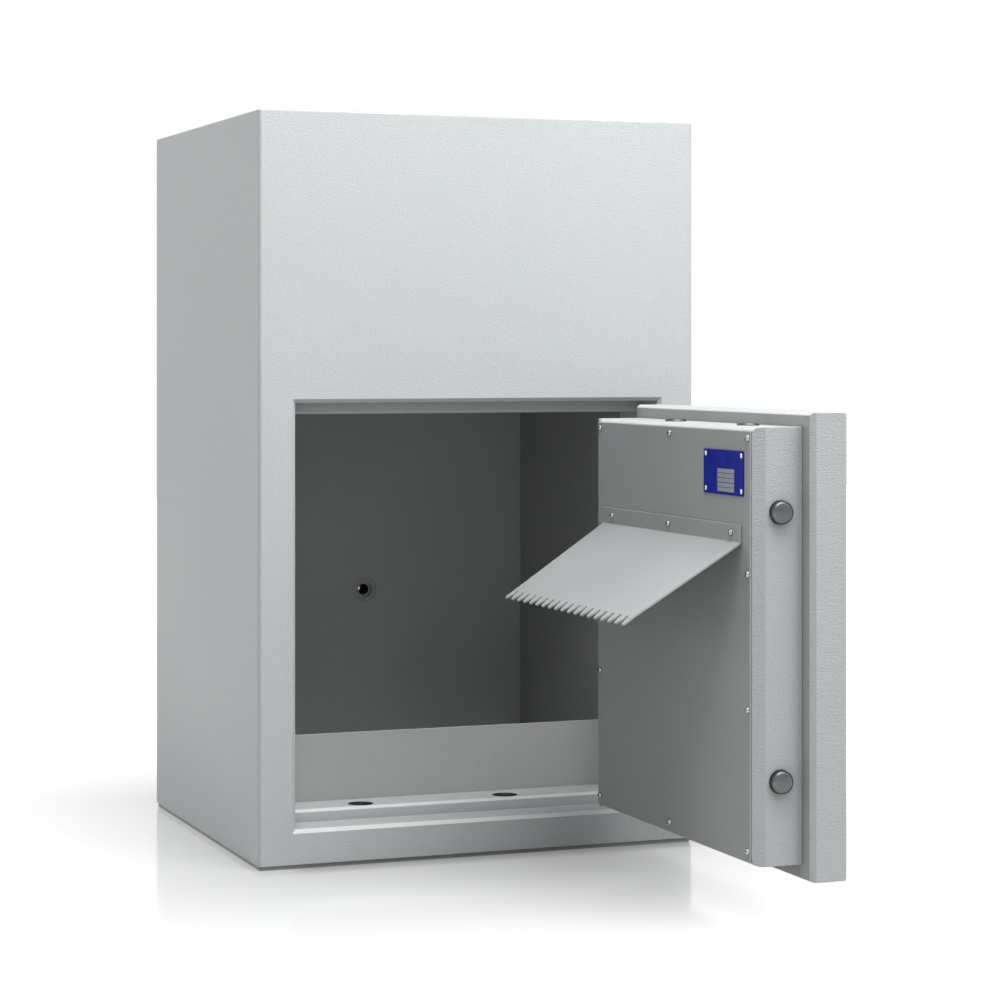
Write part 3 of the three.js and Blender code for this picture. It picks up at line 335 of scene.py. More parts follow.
def rimWearAndHighlightGroup():
    # how strongly a point lies on a rim: worn paint there, and a painted highlight along it
    group, given, result = startGroup("rimWearAndHighlight", {"Reach": 0.0012, "Patch": 0.02}, ("Mask",))
    rounded = group.nodes.new("ShaderNodeBevel")
    rounded.samples = 4
    feed(group, rounded.inputs["Radius"], given["Reach"])
    surface = group.nodes.new("ShaderNodeNewGeometry")
    normals = [node.outputs["Normal"] for node in (rounded, surface)]
    likeness = vectorMath(group, "DOT_PRODUCT", *normals)["Value"]
    rim = remap(group, likeness, 0.99, 0.8, 0.0, 1.0)
    patches = noise(
        group, objectPlace(group), scaleFrom(group, given["Patch"]), detail=4.0, roughness=0.6)
    broken = remap(group, patches, 0.42, 0.62, 0.0, 1.0)
    feed(group, result["Mask"], multiply(group, rim, broken, True))
    return group


def turnedGrainGroup():
    # tool marks of a lathe: rings on the end faces, lines round the barrel, about local Z
    group, given, result = startGroup("turnedGrain", {"Pitch": 0.0004}, ("Height", "Tone"))
    coordinates = group.nodes.new("ShaderNodeTexCoord").outputs
    axes = axesOf(group, coordinates["Object"])
    squares = [multiply(group, axes[axis], axes[axis]) for axis in ("X", "Y")]
    distance = calculate(group, "SQRT", calculate(group, "ADD", *squares))
    upright = calculate(group, "ABSOLUTE", axesOf(group, coordinates["Normal"])["Z"])
    blend = group.nodes.new("ShaderNodeMix")
    blend.data_type = "FLOAT"
    feed(group, blend.inputs["Factor"], remap(group, upright, 0.55, 0.75, 0.0, 1.0))
    feed(group, blend.inputs["A"], axes["Z"])
    feed(group, blend.inputs["B"], distance)
    line = group.nodes.new("ShaderNodeCombineXYZ")
    along = calculate(group, "DIVIDE", blend.outputs["Result"], given["Pitch"])
    feed(group, line.inputs["X"], along)
    marks = noise(group, line.outputs["Vector"], 1.0, detail=3.0, roughness=0.6)
    smears = noise(group, coordinates["Object"], 90.0, detail=3.0, roughness=0.6)
    feed(group, result["Height"], marks)
    feed(group, result["Tone"], weigh(group, marks, smears, 0.5))
    return group


def rolledGrainGroup():
    # long faint lines of rolled or drawn steel, with stains
    group, given, result = startGroup(
        "rolledGrain", {"Stretch": (900.0, 900.0, 14.0), "Stain Size": 0.05}, ("Height", "Tone"))
    place = objectPlace(group)
    stretched = vectorMath(group, "MULTIPLY", place, given["Stretch"])["Vector"]
    lines = noise(group, stretched, 1.0, detail=3.0, roughness=0.6)
    stains = noise(group, place, scaleFrom(group, given["Stain Size"]), detail=4.0, roughness=0.65)
    feed(group, result["Height"], lines)
    feed(group, result["Tone"], weigh(group, lines, stains, 0.4))
    return group


def rimHighlightGroup():
    # painted highlight where a flat face turns into its neighbour, on the rims that face up, as if
    # lit from above
    group, given, result = startGroup("rimHighlight", {"Gain": 5.0, "Upward": 1.6}, ("Mask",))
    lean = axesOf(group, group.nodes.new("ShaderNodeTexCoord").outputs["Normal"])
    steepest = calculate(group, "ABSOLUTE", lean["X"])
    for axis in ("Y", "Z"):
        steepest = calculate(group, "MAXIMUM", steepest, calculate(group, "ABSOLUTE", lean[axis]))
    turned = calculate(group, "SUBTRACT", 1.0, steepest)
    rim = multiply(group, turned, given["Gain"], True)
    upward = multiply(group, lean["Z"], given["Upward"], True)
    feed(group, result["Mask"], multiply(group, rim, upward))
    return group


def cornerShadeGroup():
    # painted shade: colour darkened where two faces meet, from ambient occlusion
    group, given, result = startGroup("cornerShade", {"Reach": 0.03}, ("Mask",))
    hollow = group.nodes.new("ShaderNodeAmbientOcclusion")
    hollow.samples = 6
    feed(group, hollow.inputs["Distance"], given["Reach"])
    feed(group, result["Mask"], remap(group, hollow.outputs["AO"], 0.15, 0.8, 1.0, 0.0))
    return group


orangePeel = orangePeelGroup()
rimWearAndHighlight = rimWearAndHighlightGroup()
rimHighlight = rimHighlightGroup()
cornerShade = cornerShadeGroup()
turnedGrain = turnedGrainGroup()
rolledGrain = rolledGrainGroup()
print("shader groups built")


def setInputs(node, values):
    for name, value in values.items():
        node.inputs[name.replace("_", " ")].default_value = value


def useGroup(tree, group, **values):
    node = tree.nodes.new("ShaderNodeGroup")
    node.node_tree = group
    setInputs(node, values)
    return node


def mixColours(tree, factor, first, second):
    node = tree.nodes.new("ShaderNodeMix")
    node.data_type = "RGBA"
    feed(tree, node.inputs["Factor"], factor)
    feed(tree, node.inputs["A"], first)
    feed(tree, node.inputs["B"], second)
    return node.outputs["Result"]


def bump(tree, shader, height, distance, strength):
    node = tree.nodes.new("ShaderNodeBump")
    setInputs(node, {"Distance": distance, "Strength": strength})
    feed(tree, node.inputs["Height"], height)
    feed(tree, shader.inputs["Normal"], node.outputs["Normal"])


def startMaterial(name, **constants):
    material = bpy.data.materials.new(name)
    material.use_nodes = True
    shader = material.node_tree.nodes["Principled BSDF"]
    setInputs(shader, constants)
    return material, material.node_tree, shader


def paintMaterial(name, look):
    material, tree, shader = startMaterial(name, Specular_IOR_Level=look["specular"])
    peel = useGroup(tree, orangePeel, Cell=look["cell"], Tone_Size=look["toneSize"],
                    Stretch=(1.0, 1.0, look["flatten"])).outputs
    tone = remap(tree, peel["Tone"], 0.3, 0.7, 0.0, 1.0)
    speck = remap(tree, peel["Height"], 0.55, 1.0, 0.0, look["speck"])
    colour = mixColours(tree, tone, look["shade"], look["light"])
    colour = mixColours(tree, speck, colour, look["high"])
    # over the paint: rims lightened for wear and as a painted highlight, a painted highlight on
    # rims that face up, and painted shade where faces meet
    for part, group in (
            ("rim", useGroup(tree, rimWearAndHighlight, Reach=look["rimReach"], Patch=0.03)),
            ("bend", useGroup(tree, rimHighlight)),
            ("paintedShade", useGroup(tree, cornerShade, Reach=look["paintedShadeReach"]))):
        share = multiply(tree, group.outputs["Mask"], look[part])
        colour = mixColours(tree, share, colour, look[part + "Colour"])
    feed(tree, shader.inputs["Base Color"], colour)
    rough = remap(tree, peel["Tone"], 0.25, 0.75, look["rough"] - 0.04, look["rough"] + 0.05)
    feed(tree, shader.inputs["Roughness"], rough)
    bump(tree, shader, peel["Height"], look["depth"], look["strength"])
    return material


# bend paints a highlight on rims that face up; rim lightens worn rims and also paints a highlight
# along them; the last three keys darken where faces meet, as painted shade
bodyLook = {
    "light": (0.600, 0.630, 0.636), "shade": (0.570, 0.600, 0.606), "high": (0.68, 0.70, 0.70),
    "speck": 0.3, "rimColour": (0.72, 0.74, 0.74), "rim": 0.35, "rimReach": 0.0012,
    "cell": 0.003, "flatten": 2.2, "toneSize": 0.3, "rough": 0.46, "specular": 0.22,
    "depth": 0.00055, "strength": 0.8, "bend": 0.9, "bendColour": (0.86, 0.88, 0.88),
    "paintedShade": 0.5, "paintedShadeReach": 0.022, "paintedShadeColour": (0.16, 0.17, 0.175)}
bodyPaint = paintMaterial("bodyPaint", bodyLook)
shellPaint = paintMaterial("shellPaint", {**bodyLook, "paintedShade": 0.15, "strength": 0.62})
# painted shade: a slightly darker copy of the body paint for the boltwork box, with strong shade
# painted where it meets the slab
shadedBoxPaint = paintMaterial("shadedBoxPaint", {
    **bodyLook, "light": (0.564, 0.592, 0.598), "shade": (0.536, 0.564, 0.570),
    "paintedShade": 0.75, "paintedShadeReach": 0.045})
hingePaint = paintMaterial("hingePaint", {**bodyLook, "bend": 0.0})
# painted shade: the base plate painted darker than the body, for the shadow gap under the shell
shadowedFootPaint = paintMaterial("shadowedFootPaint", {
    **bodyLook, "light": (0.33, 0.34, 0.345), "shade": (0.30, 0.31, 0.315),
    "high": (0.38, 0.39, 0.39), "bend": 0.0, "paintedShade": 0.0})
linerLook = {
    "light": (0.470, 0.485, 0.480), "shade": (0.440, 0.455, 0.450), "high": (0.55, 0.56, 0.55),
    "speck": 0.25, "rimColour": (0.60, 0.61, 0.60), "rim": 0.3, "rimReach": 0.0009,
    "cell": 0.0028, "flatten": 1.5, "toneSize": 0.22, "rough": 0.52, "specular": 0.2,
    "depth": 0.0003, "strength": 0.4, "bend": 0.5, "bendColour": (0.66, 0.67, 0.66),
    "paintedShade": 0.12, "paintedShadeReach": 0.04, "paintedShadeColour": (0.15, 0.155, 0.155)}
linerPaint = paintMaterial("linerPaint", linerLook)
# painted shade: the darker liner paint, with stronger shade where faces meet, for the slab's inner
# face
shadedSlabPaint = paintMaterial("shadedSlabPaint", {**linerLook, "paintedShade": 0.4})
# painted shade: a darker copy of the liner paint for the right wall's inner face, which lies in
# shade
shadedWallPaint = paintMaterial("shadedWallPaint", {
    **linerLook, "light": (0.36, 0.37, 0.365), "shade": (0.33, 0.34, 0.335),
    "high": (0.41, 0.42, 0.41)})
# painted light: a lighter copy of the liner paint for the back wall
litBackWallPaint = paintMaterial("litBackWallPaint", {
    **linerLook, "light": (0.526, 0.543, 0.538), "shade": (0.493, 0.510, 0.504),
    "high": (0.61, 0.62, 0.61)})
# painted shade: near black, matte paint inside the anchor bores, standing for the shade deep in
# them
boreShadePaint = paintMaterial("boreShadePaint", {
    **linerLook, "light": (0.03, 0.03, 0.031), "shade": (0.02, 0.02, 0.021),
    "high": (0.04, 0.04, 0.041), "rim": 0.0, "rough": 0.85, "specular": 0.0, "bend": 0.0})
# the cover's long reach of shade where faces meet paints the shadow under the baffle onto the cover
coverPaint = paintMaterial("coverPaint", {
    "light": (0.415, 0.430, 0.432), "shade": (0.385, 0.400, 0.402), "high": (0.48, 0.49, 0.49),
    "speck": 0.3, "rimColour": (0.70, 0.71, 0.71), "rim": 0.8, "rimReach": 0.0012,
    "cell": 0.0016, "flatten": 1.3, "toneSize": 0.16, "rough": 0.5, "specular": 0.2,
    "depth": 0.00025, "strength": 0.65, "bend": 0.7, "bendColour": (0.70, 0.71, 0.71),
    "paintedShade": 0.5, "paintedShadeReach": 0.11, "paintedShadeColour": (0.18, 0.185, 0.19)})
bafflePaint = paintMaterial("bafflePaint", {
    "light": (0.520, 0.540, 0.542), "shade": (0.490, 0.510, 0.512), "high": (0.60, 0.61, 0.61),
    "speck": 0.25, "rimColour": (0.70, 0.71, 0.71), "rim": 0.3, "rimReach": 0.001,
    "cell": 0.0018, "flatten": 1.3, "toneSize": 0.12, "rough": 0.45, "specular": 0.25,
    "depth": 0.0002, "strength": 0.7, "bend": 0.0, "bendColour": (0.7, 0.71, 0.71),
    "paintedShade": 0.4, "paintedShadeReach": 0.01, "paintedShadeColour": (0.2, 0.21, 0.21)})


def steelMaterial(name, grain, look):
    material, tree, shader = startMaterial(name, Metallic=look.get("metallic", 1.0))
    marks = useGroup(tree, grain, **look["grain"]).outputs
    wearAndHighlight = useGroup(tree, rimWearAndHighlight, Reach=0.0006, Patch=0.01)
    tone = remap(tree, marks["Tone"], 0.35, 0.65, 0.0, 1.0)
    colour = mixColours(tree, tone, look["shade"], look["light"])
    rim = multiply(tree, wearAndHighlight.outputs["Mask"], look["rim"])
    feed(tree, shader.inputs["Base Color"], mixColours(tree, rim, colour, look["rimColour"]))
    rough = remap(tree, marks["Tone"], 0.3, 0.7, look["rough"] + 0.06, look["rough"] - 0.06)
    feed(tree, shader.inputs["Roughness"], rough)
    bump(tree, shader, marks["Height"], look["depth"], look["strength"])
    return material


# the light rim colour is worn steel and also a painted highlight on the bolts' chamfers
turnedSteel = steelMaterial("turnedSteel", turnedGrain, {
    "grain": {"Pitch": 0.00035}, "light": (0.15, 0.152, 0.155),
    "shade": (0.085, 0.087, 0.09), "rimColour": (0.8, 0.81, 0.82), "rim": 0.8, "rough": 0.3,
    "depth": 0.00006, "strength": 0.5})
zincScrew = steelMaterial("zincScrew", turnedGrain, {
    "grain": {"Pitch": 0.0002}, "light": (0.72, 0.73, 0.74),
    "shade": (0.56, 0.57, 0.58), "rimColour": (0.85, 0.85, 0.86), "rim": 0.4, "rough": 0.2,
    "depth": 0.00003, "strength": 0.4})
screwSteel = steelMaterial("screwSteel", turnedGrain, {
    "grain": {"Pitch": 0.0002}, "light": (0.42, 0.43, 0.44),
    "shade": (0.30, 0.31, 0.32), "rimColour": (0.6, 0.6, 0.61), "rim": 0.3, "rough": 0.24,
    "depth": 0.00003, "strength": 0.4})
rolledSteel = steelMaterial("rolledSteel", rolledGrain, {
    "grain": {"Stretch": (14.0, 900.0, 900.0)}, "light": (0.60, 0.61, 0.62),
    "shade": (0.46, 0.47, 0.48), "rimColour": (0.75, 0.76, 0.77), "rim": 0.4, "rough": 0.33,
    "depth": 0.00005, "strength": 0.35})
satinSteel = steelMaterial("satinSteel", rolledGrain, {
    "grain": {"Stretch": (900.0, 900.0, 20.0)}, "light": (0.62, 0.63, 0.64),
    "shade": (0.52, 0.53, 0.54), "rimColour": (0.8, 0.8, 0.81), "rim": 0.4, "rough": 0.3,
    "depth": 0.00004, "strength": 0.3})
oiledSteel = steelMaterial("oiledSteel", rolledGrain, {
    "grain": {"Stretch": (500.0, 60.0, 60.0)}, "metallic": 0.85, "light": (0.17, 0.175, 0.185),
    "shade": (0.10, 0.105, 0.11), "rimColour": (0.42, 0.43, 0.44), "rim": 0.6, "rough": 0.42,
    "depth": 0.00008, "strength": 0.4})
lockBrass = steelMaterial("lockBrass", rolledGrain, {
    "grain": {"Stretch": (60.0, 60.0, 800.0)}, "light": (0.62, 0.44, 0.19),
    "shade": (0.48, 0.33, 0.13), "rimColour": (0.78, 0.6, 0.32), "rim": 0.5, "rough": 0.34,
    "depth": 0.00005, "strength": 0.3})
platePrint = steelMaterial("platePrint", rolledGrain, {
    "grain": {"Stretch": (30.0, 30.0, 700.0)}, "light": (0.34, 0.35, 0.37),
    "shade": (0.26, 0.27, 0.29), "rimColour": (0.75, 0.75, 0.73), "rim": 0.3, "rough": 0.5,
    "depth": 0.00002, "strength": 0.2})


plainLook = {
    "high": (0.5, 0.5, 0.5), "speck": 0.0, "flatten": 1.0, "bend": 0.0,
    "bendColour": (0.5, 0.5, 0.5), "paintedShade": 0.0, "paintedShadeReach": 0.01, "paintedShadeColour": (0.02, 0.02, 0.02)}
blueEnamel = paintMaterial("blueEnamel", {
    **plainLook, "light": (0.010, 0.028, 0.39), "shade": (0.007, 0.020, 0.31),
    "rimColour": (0.25, 0.27, 0.42), "rim": 0.5, "rimReach": 0.0005, "cell": 0.0012,
    "toneSize": 0.02, "rough": 0.35, "specular": 0.12, "depth": 0.00003, "strength": 0.25})
blackGrip = paintMaterial("blackGrip", {
    **plainLook, "light": (0.022, 0.022, 0.024), "shade": (0.012, 0.012, 0.013),
    "rimColour": (0.06, 0.06, 0.062), "rim": 0.6, "rimReach": 0.0012, "cell": 0.0009,
    "toneSize": 0.03, "rough": 0.44, "specular": 0.5, "depth": 0.0001, "strength": 0.4})
barrierFill = paintMaterial("barrierFill", {
    **plainLook, "light": (0.42, 0.41, 0.38), "shade": (0.27, 0.265, 0.25),
    "high": (0.52, 0.50, 0.46), "speck": 0.6, "rimColour": (0.36, 0.35, 0.33), "rim": 0.3,
    "rimReach": 0.002, "cell": 0.009, "toneSize": 0.06, "rough": 0.9, "specular": 0.3,
    "depth": 0.0012, "strength": 0.5})
print("materials built")


bodyShell = {"edge": 0.7, "opening": 0.8, "liner": 0.5, "sill": 0.5}
dress("outer_shell", "shell", "cabinet", "paint", shellPaint, bodyShell["edge"])
dress("door_frame", "openingLedge", "cabinet", "paint", bodyPaint, bodyShell["opening"])
compartment = softCopy("compartment_liner", "compartment", linerPaint, bodyShell["liner"])
# painted shade: the right wall's inner face takes the darker copy of the liner paint
paintFaces(compartment, shadedWallPaint, 0, 0.0)
# painted light: the back wall takes the lighter copy of the liner paint
paintFaces(compartment, litBackWallPaint, 1, 0.0)
seat(compartment, "cabinet", "compartment_liner")
dress("sill_plate", "sill", "cabinet", "inner_paint", linerPaint, bodyShell["sill"])
print("body dressed")

hinge = next(joint for joint in frame["joints"] if joint["name"] == "door_swing")["pos_m"]
ledge = {
    "flare": 3.0, "holeRadius": 14.0, "overrun": 1.0, "gap": 0.3, "edge": 0.5, "holeSegments": 48}
upright = Matrix.Identity(4)
sideways = Matrix.Rotation(math.radians(90), 4, "Y")
depthways = Matrix.Rotation(math.radians(90), 4, "X")


def ringPiece(name, rings, material):
    # rings of four corners, joined in order and closed at both ends
    build = bmesh.new()
    loops = [[build.verts.new(corner) for corner in ring] for ring in rings]
    return newPiece(name, cappedMesh(name, build, loops), material)


def windowRing(y, left, right, bottom, top, grow):
    spread = grow * mm
    return [(left - spread, y, bottom - spread), (right + spread, y, bottom - spread),
            (right + spread, y, top + spread), (left - spread, y, top + spread)]


def cutAway(piece, cutters):
    for cutter in cutters:
        removal = piece.modifiers.new("cut", "BOOLEAN")
        removal.operation = "DIFFERENCE"
        removal.solver = "EXACT"
        removal.material_mode = "TRANSFER"
        removal.object = cutter
        bakeModifiers(piece)
    for cutter in cutters:
        bpy.data.objects.remove(cutter)
    return piece


def roundCutter(centre, turn, start, end, radius):
    # start and end lie along the cutter's own axis, in metres
    profile = [(0, start / mm), (radius, start / mm), (radius, end / mm), (0, end / mm)]
    return turnedPiece("cutter", profile, ledge["holeSegments"], oiledSteel, centre, turn)


def buildStrikeLedge():
    low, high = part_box("strike_frame")
    footLow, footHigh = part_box("strike_plate_foot")
    headLow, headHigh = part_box("strike_plate_head")
    sideLow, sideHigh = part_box("strike_plate_side")
    left, right = sideHigh.x, footHigh.x + ledge["gap"] * mm
    over, flare = ledge["overrun"], ledge["flare"]
    outside = (low.x, high.x, low.z, high.z, 0.0)
    inside = (left, right, footHigh.z, headLow.z)
    piece = ringPiece(
        "strikeLedge", [windowRing(low.y, *outside), windowRing(high.y, *outside)], bodyPaint)
    window = ringPiece("window", [
        windowRing(low.y - over * mm, *inside, flare + over),
        windowRing(low.y + flare * mm, *inside, 0.0),
        windowRing(high.y + over * mm, *inside, 0.0)], bodyPaint)
    holeRadius = ledge["holeRadius"]
    drills = []
    for side, start, end in (
            ("bottom", footLow.z, footHigh.z + over * mm),
            ("top", headLow.z - over * mm, headHigh.z)):
        for place in ("outer", "inner"):
            # the bolt's place with the door shut, from its place with the door open
            centre = nodeCentre(side + "_bolt_" + place)
            shut = Vector((hinge[0] + centre.y - hinge[1], hinge[1] + hinge[0] - centre.x, 0))
            drills.append(roundCutter(shut, upright, start, end, holeRadius))
    for level in ("lower", "upper"):
        centre = nodeCentre("side_bolt_" + level)
        shut = Vector((0, hinge[1] + hinge[0] - centre.x, centre.z))
        drills.append(roundCutter(shut, sideways, sideLow.x, sideHigh.x + over * mm, holeRadius))
    cutAway(piece, [window] + drills)
    softenEdges(piece, ledge["edge"])
    seat(piece, "cabinet", "strike_frame")
    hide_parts("strike_plate_foot", "strike_plate_head", "strike_plate_side")


buildStrikeLedge()
print("strike ledge drilled")

anchor = {"bore": 6.0, "recess": 9.6, "outer": 15.0, "depth": 5.0, "ease": 0.6, "segments": 64}


def anchorSleeve(nodeName, pieceName, axis, turn):
    # local Z runs from the outside of the safe to its inside
    low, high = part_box(nodeName)
    place = (low + high) / 2
    place[axis] = high[axis] if axis == 1 else low[axis]
    length = (high - low)[axis] / mm
    bore, recess, outer, ease = anchor["bore"], anchor["recess"], anchor["outer"], anchor["ease"]
    floor = length - anchor["depth"]
    profile = [
        (bore, 0), (outer, 0), (outer, length - ease), (outer - ease, length),
        (recess + ease, length), (recess, length - ease), (recess, floor),
        (bore + ease, floor), (bore, floor - ease), (bore, 0)]
    piece = turnedPiece(pieceName, profile, anchor["segments"], linerPaint, place, turn)
    # the bore's own faces take the painted shade
    piece.data.materials.append(boreShadePaint)
    for face in piece.data.polygons:
        if face.center.xy.length < (bore + ease) * mm:
            face.material_index = 1
    return seat(piece, "cabinet", nodeName)


anchorSleeve("rear_anchor_sleeve", "rearAnchorSleeve", 1, depthways)
anchorSleeve("base_anchor_sleeve", "baseAnchorSleeve", 2, upright)
print("anchor sleeves turned")


doorLook = {"boxRounding": (1.0, 3, 25.0), "hingeEdge": 0.8}
slabLook = {
    "inner": {"lock": 5.0, "head": 3.0, "foot": 1.5, "hinge": 1.0}, "middle": {"lock": 2.0},
    "middleDepth": 3.0, "chamferDepth": 5.0, "outerRadius": 3.5, "outerSteps": 4, "edge": 0.9,
    "spindleBore": 9.0, "keyBore": 7.0}


def slabRing(x, low, high, drawnIn, every=0.0):
    # the slab's outline at one depth, each side drawn in by so many millimetres
    lock, head, foot, hingeSide = [
        (drawnIn.get(side, 0.0) + every) * mm for side in ("lock", "head", "foot", "hinge")]
    return [(x, low.y + lock, low.z + foot), (x, high.y - hingeSide, low.z + foot),
            (x, high.y - hingeSide, high.z - head), (x, low.y + lock, high.z - head)]


def buildSlab():
    look = slabLook
    low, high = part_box("door_slab")
    rings = [
        slabRing(low.x, low, high, look["inner"]),
        slabRing(low.x + look["middleDepth"] * mm, low, high, look["middle"]),
        slabRing(low.x + look["chamferDepth"] * mm, low, high, {})]
    for step in range(look["outerSteps"] + 1):
        angle = math.radians(90 * step / look["outerSteps"])
        depth = look["outerRadius"] * (1 - math.sin(angle)) * mm
        drawnIn = look["outerRadius"] * (1 - math.cos(angle))
        rings.append(slabRing(high.x - depth, low, high, {}, drawnIn))
    piece = ringPiece("slab", rings, bodyPaint)
    over = ledge["overrun"] * mm
    bores = []
    for nodeName, bore in (("handle_spindle", "spindleBore"), ("key_escutcheon", "keyBore")):
        centre = nodeCentre(nodeName)
        bores.append(roundCutter(
            (0, centre.y, centre.z), sideways, low.x - over, high.x + over, look[bore]))
    cutAway(piece, bores)
    softenEdges(piece, look["edge"])
    # painted shade: that side takes the darker liner paint, unlike the rest of the slab
    paintFaces(piece, shadedSlabPaint, 0)  # the side that looks into the safe when the door is shut
    return seat(piece, "door", "door_slab")


buildSlab()
dress("door_box", "boltworkBox", "door", "paint", shadedBoxPaint, *doorLook["boxRounding"])
for level in ("lower", "upper"):
    for part, body in (("Leaf", "door"), ("Bracket", "cabinet")):
        dress("hinge_%s_%s" % (part.lower(), level), "hinge%s.%s" % (part, level),
              body, "paint", hingePaint, doorLook["hingeEdge"])
print("door dressed")

lockingBolt = {"radius": 11.0, "chamfer": 2.0, "ease": 0.35, "segments": 72}


def turnBolt(nodeName, body, axis):
    low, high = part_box(nodeName)
    half = (high - low)[axis] / mm / 2
    radius, chamfer, ease = lockingBolt["radius"], lockingBolt["chamfer"], lockingBolt["ease"]
    rim = [
        (radius - chamfer - ease, half), (radius - chamfer + ease / 2, half - ease / 2),
        (radius - ease / 2, half - chamfer + ease / 2), (radius, half - chamfer - ease)]
    foot = [(reach, -height) for reach, height in rim]
    profile = [(0, -half)] + foot + list(reversed(rim)) + [(0, half)]
    turn = depthways if axis == 1 else upright
    piece = turnedPiece("bolt." + nodeName, profile, lockingBolt["segments"], turnedSteel,
                        (low + high) / 2, turn)
    return seat(piece, body, nodeName)


for side, axis, places in (
        ("side", 1, ("lower", "upper")), ("top", 2, ("outer", "inner")),
        ("bottom", 2, ("outer", "inner"))):
    for place in places:
        turnBolt(side + "_bolt_" + place, side + "_boltwork", axis)
print("locking bolts turned")

coverScrew = {
    "radius": 3.5, "height": 2.5, "rim": 0.6, "domeSteps": 4, "domeStep": 14, "slotLong": 1.8,
    "slotHalf": 0.5, "slotEnd": 1.05, "slotDepth": 1.2, "slotTaper": 0.78, "segments": 32,
    "columns": (-50.0, -229.0, -406.5), "heights": (463.5, 335.0, 207.0, 73.5),
    "columnSpin": 41, "rowSpin": 17, "empty": ((1, 1), (2, 1))}


def crossRadius(angle, long, half):
    # outline of a cross recess, as a radius at an angle
    folded = abs((angle + math.pi / 4) % (math.pi / 2) - math.pi / 4)
    if math.tan(folded) < half / long:
        return long / math.cos(folded)
    return half / math.sin(folded)


def screwHeadMesh(name, look):
    build = bmesh.new()
    count, radius, height, rim = look["segments"], look["radius"], look["height"], look["rim"]
    domed = [(radius, 0.0), (radius, rim)]
    crown = math.sin(math.radians(look["domeSteps"] * look["domeStep"]))
    for step in range(1, look["domeSteps"] + 1):
        angle = math.radians(step * look["domeStep"])
        domed.append((radius * math.cos(angle), rim + (height - rim) * math.sin(angle) / crown))
    rings = [pointRing(build, count, rise, lambda angle: reach) for reach, rise in domed]
    long, half = look["slotLong"], look["slotHalf"]
    for drop, shrink in ((0.0, 1.0), (look["slotDepth"], look["slotTaper"])):
        rings.append(pointRing(
            build, count, height - drop,
            lambda angle: min(crossRadius(angle, long, half), long * look["slotEnd"]) * shrink))
    return cappedMesh(name, build, rings, edgeWork["screwSharp"])


def onDoor(x, y, z):
    # hinge-axis coordinates of the shut door to their place with the door open
    return Vector((hinge[0] - y * mm, hinge[1] + x * mm, z * mm))


# a piece whose local Z is the door's inner normal, which points to -X, and whose local Y is up
facingInside = Matrix(((0, 0, -1, 0), (-1, 0, 0, 0), (0, 1, 0, 0), (0, 0, 0, 1)))

onCover = {"gap": 0.3, "namePlate": 1.0, "baffle": 2.1}  # sheets on the cover: thickness, gap under
coverFace = (hinge[0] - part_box("door_cover")[0].x) / mm
baffleFace = coverFace + onCover["gap"] + onCover["baffle"]
plateFace = coverFace + onCover["gap"] + onCover["namePlate"]


def placeInside(piece, x, face, z, spin=0.0):
    turn = facingInside @ Matrix.Rotation(math.radians(spin), 4, "Z")
    piece.matrix_world = Matrix.Translation(onDoor(x, face, z)) @ turn
    return piece


coverLook = {
    "hingeSide": -44.0, "width": 367.0, "foot": 63.5, "head": 470.0, "sheet": 1.7,
    "corner": 1.0, "cornerSteps": 3, "edge": 0.35}


def buildCover():
    look = coverLook
    outline = roundedCorners(
        0, look["width"], 0, look["head"] - look["foot"], look["corner"], look["cornerSteps"])
    piece = sheetPiece("cover", outline, look["sheet"], coverPaint)
    softenEdges(piece, look["edge"])
    placeInside(piece, look["hingeSide"], coverFace - look["sheet"], look["foot"])
    return seat(piece, "door", "door_cover")


buildCover()
print("cover set")

screwHead = screwHeadMesh("screwHead", coverScrew)
screwPlaces = []
for row, height in enumerate(coverScrew["heights"]):
    for column, across in enumerate(coverScrew["columns"]):
        spin = coverScrew["rowSpin"] * row + coverScrew["columnSpin"] * column
        if (row, column) not in coverScrew["empty"]:
            screwPlaces.append((across, coverFace, height, spin))
baffleScrew = {"height": 372.5, "columns": (-87.5, -230.5, -375.0), "spin": 23, "columnSpin": 31}
for column, across in enumerate(baffleScrew["columns"]):
    spin = baffleScrew["spin"] + baffleScrew["columnSpin"] * column
    screwPlaces.append((across, baffleFace, baffleScrew["height"], spin))
for index, (across, face, height, spin) in enumerate(screwPlaces):
    screw = newPiece("screw.%02d" % index, screwHead.copy(), screwSteel)
    seat(placeInside(screw, across, face, height, spin), "door")
print("screws set:", len(screwPlaces))

namePlate = {
    "width": 88.0, "height": 43.0, "corner": 2.0, "cornerSteps": 8, "edge": 0.25,
    "rivetInset": 4.6, "rivetRadius": 2.6, "rivetHeight": 0.7, "rivetSegments": 24,
    "rivetDome": ((1.0, 0.0), (0.97, 0.35), (0.8, 0.75), (0.45, 0.95), (0.0, 1.0)),
    "cellWidth": 37.0, "cellHeight": 3.9, "cellGap": 0.6, "cells": 5, "cellLeft": 31.7,
    "cellTop": 18.2, "cellRise": 0.12, "cellCorner": 0.3, "cellSteps": 3}
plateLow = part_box("rating_plate")[0]
plateFar = (plateLow.y - hinge[1]) / mm + namePlate["width"]
plateFoot = plateLow.z / mm


